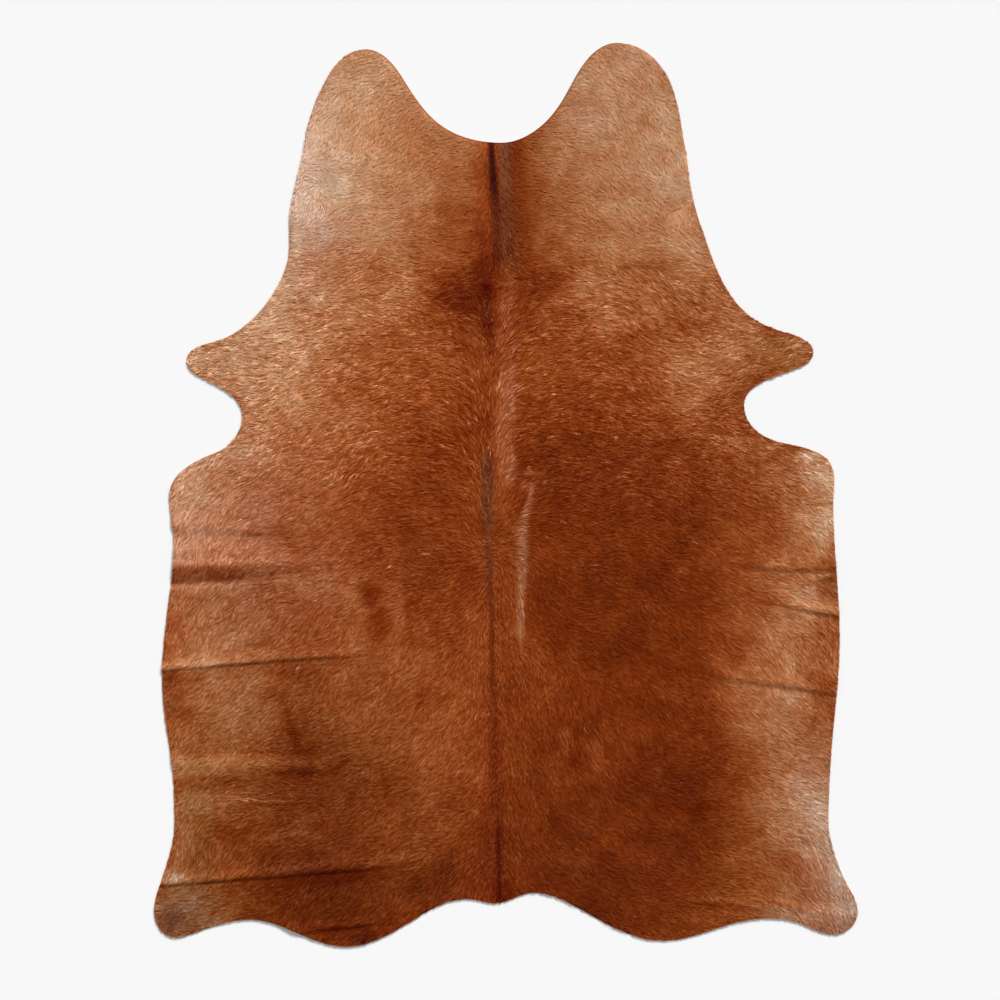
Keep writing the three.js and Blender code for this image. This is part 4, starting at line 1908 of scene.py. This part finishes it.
@dataclass(frozen=True)
class Skin:
    """The tanned skin: one thin sheet filling the outline, lifted by the folds.

    The skin between the roots is painted a little darker than the coat, in screen levels, as shade under
    the hair, and its cut edge far darker, as painted shade, so that no pale rim shows.
    """

    across: int = 112
    along: int = 180
    thickness: float = 2.0 * MM
    inset: float = 0.8 * MM
    # Painted shade in screen levels: under the hair, and far more at the cut edge.
    root_shade: float = 10.0
    rim_shade: float = 52.0

    def build(
        self,
        outline: Outline,
        relief: Relief,
        colours: CoatColour,
        finishes: list[bpy.types.Material],
    ) -> bpy.types.Object:
        """Makes the sheet.

        The under side is the outline's grid at the height of the lift, and the upper side is the
        same grid a skin's thickness above it. A strip of faces joins them all round.

        Args:
            outline: the trimmed edge.
            relief: how far the hide lifts off the floor.
            colours: the coat's colours, for the roots.
            finishes: the upper side's material, then the under side's.

        Returns:
            The skin.
        """
        grid = outline.patch(self.across, self.along, self.inset)
        x = grid[..., 0].ravel()
        y = grid[..., 1].ravel()
        lift = relief.lift(x, y)
        under = np.stack([x, y, lift], axis=1)
        upper = np.stack([x, y, lift + self.thickness], axis=1)
        count = len(x)
        index = np.arange(count).reshape(self.along, self.across)
        cells = np.stack([index[:-1, :-1], index[1:, :-1], index[1:, 1:], index[:-1, 1:]], axis=-1)
        cells = cells.reshape(-1, 4)
        rim = np.concatenate([index[0, :-1], index[:-1, -1], index[-1, :0:-1], index[:0:-1, 0]])
        after = np.roll(rim, -1)
        wall = np.stack([rim, rim + count, after + count, after], axis=1)
        faces = np.concatenate([cells + count, cells[:, ::-1], wall])
        points = np.concatenate([under, upper])
        mesh = mesh_from("skin", points, np.full(len(faces), 4), faces.ravel())
        tone, rose, grey = colours.fields(x, y)
        # Painted shade: darker under the hair, and far darker at the cut edge.
        painted_shade = np.full_like(x, -self.root_shade)
        painted_shade[rim] = -self.rim_shade
        roots = colours.colour(tone, rose, grey, painted_shade)
        paint(mesh, "coat", np.concatenate([roots, roots]))
        for finish in finishes:
            mesh.materials.append(finish)
        slots = np.where(np.arange(len(faces)) < len(cells), 0, 1)
        mesh.polygons.foreach_set("material_index", slots.astype(np.int32))
        return place(mesh, "skin")


@dataclass(frozen=True)
class Tufts:
    """The tufts, one entry each: places, ways, added light, lengths, and how fine the hair is."""

    x: np.ndarray
    y: np.ndarray
    dx: np.ndarray
    dy: np.ndarray
    shade: np.ndarray
    length: np.ndarray
    fine: np.ndarray


@dataclass(frozen=True)
class Locks:
    """The locks laid flat, one entry each.

    Each has its root, the unit way to its tip, its length, the share of it left after trimming,
    and the tuft it belongs to.
    """

    root: np.ndarray
    way: np.ndarray
    length: np.ndarray
    share: np.ndarray
    tuft: np.ndarray


@dataclass(frozen=True)
class Coat:
    """The hair: tufts of flat locks, tapering at both ends, in layers that each cover the hide.

    Sizes are in metres, and in millimetres where a name ends in _mm. Angles are in degrees.
    """

    layers: int = 8
    per_layer: int = 56000
    seed: int = 5
    spacing: float = 5.27 * MM
    locks: int = 4
    tuft_inset: float = 0.5 * MM
    root_inset: float = 0.3 * MM
    overhang: float = 0.8 * MM
    shortest: float = 15.0 * MM
    longest: float = 24.0 * MM
    own_length: tuple[float, float] = (0.8, 1.15)
    width: float = 1.5 * MM
    own_width: tuple[float, float] = (0.8, 1.2)
    parting_width: float = 0.02
    parting_cut: float = 0.3
    flank_fine: float = 0.5
    loin_fine: float = 0.6
    fine_cut: float = 0.32
    fine_thin: float = 0.06
    aside_mm: float = 3.0
    forward_mm: float = 4.5
    gather: float = 0.5
    stray_mm: float = 1.2
    bend_mm: float = 1.1
    rise_mm: tuple[float, float, float] = (1.4, 1.3, 0.8)
    clear: float = 0.05 * MM
    lean: float = 7.0
    roll: float = 9.0
    tuft_share: float = 0.09
    # How strongly the painted highlight on the waves' crests and painted shade in their troughs show.
    wave_shading_share: float = 0.13
    streak_share: float = 0.4
    glint_share: float = 0.96
    glint_shape: float = 4.0
    edge_share: float = 1.0
    # How strongly the painted shade at the roots and painted highlight at the tips show.
    root_tip_shading: float = 0.45
    strand_stride: float = 2.5 * MM
    wave_stride: float = 4.0 * MM
    slip: float = 2.0 * MM

    def places(self, edge: EdgeDistance, outline: Outline) -> tuple[np.ndarray, np.ndarray]:
        """Where the tufts grow: one at a random place in each cell of a square lattice.

        Args:
            edge: the distance to the trimmed edge.
            outline: the trimmed edge.

        Returns:
            The tufts' places across and along the hide.
        """
        rng = np.random.default_rng(self.seed)
        loop = outline.loop()
        low = loop.min(axis=0)
        counts = np.ceil((loop.max(axis=0) - low) / self.spacing).astype(int) + 1
        gx, gy = np.meshgrid(np.arange(counts[0]), np.arange(counts[1]))
        x = low[0] + (gx.ravel() + rng.uniform(0, 1, gx.size)) * self.spacing
        y = low[1] + (gy.ravel() + rng.uniform(0, 1, gx.size)) * self.spacing
        keep = edge.at(x, y) > self.tuft_inset
        return x[keep], y[keep]

    def fineness(self, aside: np.ndarray, y: np.ndarray) -> np.ndarray:
        """How far the hair is finer and shorter: fully on the neck, and partly on flanks and loins.

        Args:
            aside: how far from the parting, in metres.
            y: places along the hide.

        Returns:
            The share, from 0 to 1.
        """
        fine = smooth_step(y, 0.5, 0.7) * smooth_step(aside, 0.05, 0.15)
        fine = np.maximum(fine, self.flank_fine * smooth_step(aside, 0.45, 0.65))
        return np.maximum(fine, self.loin_fine - self.loin_fine * smooth_step(y, -0.3, -0.1))

    def tufts(
        self, edge: EdgeDistance, outline: Outline, flow: HairFlow, rng: np.random.Generator
    ) -> Tufts:
        """The tufts, each leaning a little off the flow, and shorter at the parting.

        Args:
            edge: the distance to the trimmed edge.
            outline: the trimmed edge.
            flow: which way the hair lies.
            rng: the source of random numbers.

        Returns:
            The tufts.
        """
        x, y = self.places(edge, outline)
        count = len(x)
        dx, dy = flow.heading(x, y)
        lean = np.radians(rng.normal(0.0, self.lean, count))
        dx, dy = dx * np.cos(lean) - dy * np.sin(lean), dx * np.sin(lean) + dy * np.cos(lean)
        shade = self.tuft_share * rng.normal(0.0, 1.0, count)
        length = rng.uniform(self.shortest, self.longest, count)
        aside = np.abs(x - flow.spine(y))
        length = length * (1.0 - self.parting_cut * np.exp(-((aside / self.parting_width) ** 2)))
        fine = self.fineness(aside, y)
        length = length * (1.0 - self.fine_cut * fine)
        return Tufts(x, y, dx, dy, shade, length, fine)

    def reach(self, edge: EdgeDistance, root: np.ndarray, tip: np.ndarray) -> np.ndarray:
        """How much of each lock is left when it is trimmed where it leaves the hide.

        Halving the interval seven times finds the greatest share of the way from root to tip
        that is no further than the overhang past the edge.

        Args:
            edge: the distance to the trimmed edge.
            root: the roots, of shape (n, 2).
            tip: the tips, of shape (n, 2).

        Returns:
            The share kept of each lock, from 0 to 1.
        """
        low = np.zeros(len(root))
        high = np.ones(len(root))
        whole = edge.at(tip[:, 0], tip[:, 1]) > -self.overhang
        for _ in range(7):
            half = (low + high) / 2.0
            place_at = root + (tip - root) * half[:, None]
            fits = edge.at(place_at[:, 0], place_at[:, 1]) > -self.overhang
            low = np.where(fits, half, low)
            high = np.where(fits, high, half)
        return np.where(whole, 1.0, low)

    def lay(self, tufts: Tufts, edge: EdgeDistance, rng: np.random.Generator) -> Locks:
        """The locks of all tufts, laid flat and trimmed.

        A lock's root lies a little off its tuft's middle, and its tip is drawn in towards the
        tuft's tip.

        Args:
            tufts: the tufts.
            edge: the distance to the trimmed edge.
            rng: the source of random numbers.

        Returns:
            The locks that grow on the hide.
        """
        tuft = np.repeat(np.arange(len(tufts.x)), self.locks)
        total = len(tuft)
        middle = np.stack([tufts.x, tufts.y], axis=1)[tuft]
        ahead = np.stack([tufts.dx, tufts.dy], axis=1)[tuft]
        side = np.stack([-tufts.dy, tufts.dx], axis=1)[tuft]
        aside = rng.uniform(-self.aside_mm, self.aside_mm, total) * MM
        forward = rng.uniform(-self.forward_mm, self.forward_mm, total) * MM
        root = middle + ahead * forward[:, None] + side * aside[:, None]
        own = tufts.length[tuft] * rng.uniform(*self.own_length, total)
        stray = rng.normal(0.0, self.stray_mm, total) * MM
        drawn = aside * (self.gather - 1.0) + stray
        tip = root + (ahead * own[:, None] + side * drawn[:, None])
        grows = edge.at(root[:, 0], root[:, 1]) > self.root_inset
        root = root[grows]
        tip = tip[grows]
        share = self.reach(edge, root, tip)
        tip = root + (tip - root) * share[:, None]
        way = tip - root
        length = np.linalg.norm(way, axis=1) + TINY
        return Locks(root, way / length[:, None], length, share, tuft[grows])

    def form(
        self, tufts: Tufts, locks: Locks, relief: Relief, ground: float, rng: np.random.Generator
    ) -> np.ndarray:
        """The locks' points in space.

        A lock has one point at the root, two across its widest place and one at the tip. Its
        height over the skin grows as t (2 - t) along it, its middle line bends sideways as
        t squared, and it is rolled about that line. A trimmed lock lies lower.

        Args:
            tufts: the tufts.
            locks: the locks laid flat.
            relief: how far the hide lifts off the floor.
            ground: the height of the skin's upper side over its under side.
            rng: the source of random numbers.

        Returns:
            Points of shape (locks, 4, 3).
        """
        total = len(locks.tuft)
        normal = np.stack([-locks.way[:, 1], locks.way[:, 0]], axis=1)
        roll = np.radians(rng.uniform(-self.roll, self.roll, total))
        thin = 1.0 - self.fine_thin * tufts.fine[locks.tuft]
        half_width = self.width / 2.0 * rng.uniform(*self.own_width, total) * thin
        bend = rng.normal(0.0, self.bend_mm, total) * MM * locks.share
        least, by_tuft, by_lock = self.rise_mm
        of_tuft = rng.uniform(0, 1, len(tufts.x))[locks.tuft]
        rise = (least + by_tuft * of_tuft + by_lock * rng.uniform(0, 1, total)) * MM
        rise = rise * (0.35 + 0.65 * locks.share)

        t = np.array(LOCK_STATIONS)
        middle = locks.root[:, None] + locks.way[:, None] * (locks.length[:, None] * t)[..., None]
        middle = middle + normal[:, None] * (bend[:, None] * t**2)[..., None]
        wide = np.array(LOCK_SIDES) * half_width[:, None]
        flat = middle + normal[:, None] * (wide * np.cos(roll)[:, None])[..., None]
        lift = relief.lift(flat[..., 0], flat[..., 1])
        height = lift + ground + self.clear + rise[:, None] * t * (2.0 - t)
        height = height + wide * np.sin(roll)[:, None]
        return np.concatenate([flat, height[..., None]], axis=-1)

    def tint(
        self,
        points: np.ndarray,
        tufts: Tufts,
        locks: Locks,
        colours: CoatColour,
        marks: MarksAndShading,
        rng: np.random.Generator,
    ) -> np.ndarray:
        """The colours of the locks' points.

        Each lock takes the coat's colour from a place slipped a little along itself. The hairs'
        unevenness then sets how strongly it is lightened or darkened by the shade of its tuft, by
        the painted highlight on the crests of waves along the hair and painted shade in their
        troughs, by streaks along the hair, by its own painted glint, from side to side, and by
        painted shade at its root and a painted highlight at its tip. A glint follows a gamma curve,
        so that bright locks are rarer and stronger.

        Args:
            points: the locks' points.
            tufts: the tufts.
            locks: the locks laid flat.
            colours: the coat's colours.
            marks: its painted crease shading, scars and smudges.
            rng: the source of random numbers.

        Returns:
            Linear colours of shape (locks, 4, 3).
        """
        total = len(locks.tuft)
        x = points[..., 0].ravel()
        y = points[..., 1].ravel()
        dx = np.repeat(locks.way[:, 0], 4)
        dy = np.repeat(locks.way[:, 1], 4)
        strand = colours.streaks(colours.strands, self.strand_stride, x, y, dx, dy)
        # Painted highlight on the waves' crests and painted shade in their troughs.
        wave_shading = colours.streaks(colours.waves, self.wave_stride, x, y, dx, dy)
        wave_shading = (wave_shading * colours.waviness(y)).reshape(-1, 4)
        glint = rng.gamma(self.glint_shape, 1.0, total) - self.glint_shape
        glint = (glint / math.sqrt(self.glint_shape))[:, None]
        own_light = self.wave_shading_share * wave_shading + self.streak_share * strand.reshape(-1, 4)
        own_light = own_light + self.glint_share * glint * np.clip(0.95 + 0.25 * wave_shading, 0.4, 1.6)
        edges = self.edge_share * rng.normal(0.0, 1.0, total)[:, None] * np.array(LOCK_SIDES)
        # Painted shade at each lock's root and a painted highlight at its tip.
        fade = self.root_tip_shading * np.array(LOCK_ROOT_SHADE_TIP_HIGHLIGHT)
        slip = np.repeat(rng.normal(0.0, self.slip, total), 4)
        tone, rose, grey = colours.fields(x - slip * dx, y - slip * dy)
        spread = colours.unevenness(x, y, tone)
        light = spread * (tufts.shade[locks.tuft][:, None] + own_light + edges + fade).ravel()
        # Painted crease shading, scars, smudges and flecks.
        light = light + marks.light(x, y)
        return colours.colour(tone, rose, grey, light).reshape(-1, 4, 3)

    def build(
        self,
        outline: Outline,
        edge: EdgeDistance,
        relief: Relief,
        flow: HairFlow,
        colours: CoatColour,
        marks: MarksAndShading,
        ground: float,
        finish: bpy.types.Material,
    ) -> list[bpy.types.Object]:
        """Makes the hair.

        Args:
            outline: the trimmed edge.
            edge: the distance to it.
            relief: how far the hide lifts off the floor.
            flow: which way the hair lies.
            colours: the coat's colours.
            marks: its painted crease shading, scars and smudges.
            ground: the height of the skin's upper side over its under side.
            finish: the hair's material.

        Returns:
            One object for each layer.
        """
        rng = np.random.default_rng(self.seed + 1)
        tufts = self.tufts(edge, outline, flow, rng)
        locks = self.lay(tufts, edge, rng)
        points = self.form(tufts, locks, relief, ground, rng)
        painted = self.tint(points, tufts, locks, colours, marks, rng)
        LOG.info("%d tufts, %d locks", len(tufts.x), len(locks.tuft))
        return self._split(points, painted, locks.tuft, finish)

    def _split(
        self, points: np.ndarray, colour: np.ndarray, tuft: np.ndarray, finish: bpy.types.Material
    ) -> list[bpy.types.Object]:
        """Shares the tufts out between the layers and makes a mesh of each layer.

        Args:
            points: the locks' points, of shape (locks, 4, 3).
            colour: their colours, of the same shape.
            tuft: the tuft each lock belongs to.
            finish: the hair's material.

        Returns:
            One object for each layer.
        """
        made = []
        for layer in range(self.layers):
            mine = np.nonzero(tuft % self.layers == layer)[0][: self.per_layer]
            first = np.arange(len(mine))[:, None] * 4
            corners = (first + np.array(LOCK_CORNERS)).ravel()
            sizes = np.full(2 * len(mine), 3)
            name = f"coat_{layer + 1}"
            mesh = mesh_from(name, points[mine].reshape(-1, 3), sizes, corners)
            paint(mesh, "coat", colour[mine].reshape(-1, 3))
            self._unfold(mesh, len(mine))
            mesh.materials.append(finish)
            made.append(place(mesh, name))
            LOG.info("%s: %d locks", name, len(mine))
        return made

    def _unfold(self, mesh: bpy.types.Mesh, count: int) -> None:
        """Gives each lock its own small square of the map, root at the bottom and tip at the top.

        Args:
            mesh: the layer's mesh.
            count: how many locks it has.
        """
        side = math.ceil(math.sqrt(count))
        spots = np.array(LOCK_MAP)[list(LOCK_CORNERS)]
        cell = np.arange(count)
        across = (cell % side)[:, None] + spots[:, 0]
        along = (cell // side)[:, None] + spots[:, 1]
        layer = mesh.uv_layers.new(name="OFBake")
        flat = np.stack([across, along], axis=-1).astype(np.float32) / side
        layer.data.foreach_set("uv", flat.ravel())


@dataclass(frozen=True)
class Studio:
    """Floor, soft lights and the camera straight above."""

    centre: tuple[float, float] = (-14.75 * MM, -13.5 * MM)
    picture_width: float = 2.5
    lens: float = 85.0
    sensor: float = 36.0
    coat_top: float = 5.0 * MM
    clip_end: float = 100.0
    floor_size: float = 70.0
    floor_drop: float = 0.3 * MM
    light_distance: float = 6.0
    key_strength: float = 4.3
    key_softness: float = 14.0
    key_from: tuple[float, float, float] = (0.32, 0.8, 0.52)
    fill_strength: float = 0.35
    fill_softness: float = 60.0
    fill_from: tuple[float, float, float] = (-0.6, -0.35, 0.8)
    sky: float = 0.3

    def camera(self) -> None:
        """Looks straight down from the height at which the picture is picture_width wide."""
        data = bpy.data.cameras.new("camera")
        data.lens = self.lens
        data.sensor_width = self.sensor
        data.clip_end = self.clip_end
        camera = place(data, "camera")
        height = self.picture_width * self.lens / self.sensor
        camera.location = (self.centre[0], self.centre[1], self.coat_top + height)
        bpy.context.scene.camera = camera

    def light(self, name: str, source: tuple, softness: float, strength: float) -> None:
        """A far soft light, which falls evenly on the whole rug.

        Args:
            name: the light's name.
            source: the direction that it comes from.
            softness: how wide it looks from the rug, in degrees.
            strength: its strength in watts for each square metre.
        """
        data = bpy.data.lights.new(name, "SUN")
        data.angle = math.radians(softness)
        data.energy = strength
        light = place(data, name)
        light.location = Vector(source) * self.light_distance
        light.rotation_euler = (-Vector(source)).to_track_quat("-Z", "Y").to_euler()

    def build(self) -> None:
        """Makes the floor, the lights and the sky."""
        half = self.floor_size / 2.0
        corners = np.array([[-half, -half], [half, -half], [half, half], [-half, half]])
        points = np.concatenate([corners, np.full((4, 1), -self.floor_drop)], axis=1)
        mesh = mesh_from("floor", points, np.array([4]), np.arange(4))
        mesh.materials.append(FloorFinish().material())
        place(mesh, "floor")
        self.light("key", self.key_from, self.key_softness, self.key_strength)
        self.light("fill", self.fill_from, self.fill_softness, self.fill_strength)
        world = bpy.data.worlds.new("studio")
        world.use_nodes = True
        backdrop = world.node_tree.nodes["Background"]
        backdrop.inputs["Color"].default_value = (1.0, 1.0, 1.0, 1.0)
        backdrop.inputs["Strength"].default_value = self.sky
        scene = bpy.context.scene
        scene.world = world
        scene.view_settings.view_transform = "Standard"


def main() -> None:
    """Builds the studio, the skin and the coat, and ties them to the frame."""
    logging.basicConfig(level=logging.INFO, format="%(message)s")
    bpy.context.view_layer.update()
    studio = Studio()
    studio.camera()
    studio.build()
    outline = Outline()
    relief = Relief()
    flow = HairFlow()
    colours = CoatColour()
    edge = EdgeDistance(outline.loop())
    groups = SharedGroups()
    hair = HairFinish().material(groups)
    sides = [GrainFinish().material(groups), FleshFinish().material(groups)]
    sheet = Skin()
    skin = sheet.build(outline, relief, colours, sides)
    LOG.info("skin: %d points", len(skin.data.vertices))
    coat = Coat().build(outline, edge, relief, flow, colours, MarksAndShading(), sheet.thickness, hair)
    for piece in [skin, *coat]:
        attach(piece, "root")
        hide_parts("hide")


if __name__ == "__main__":
    main()
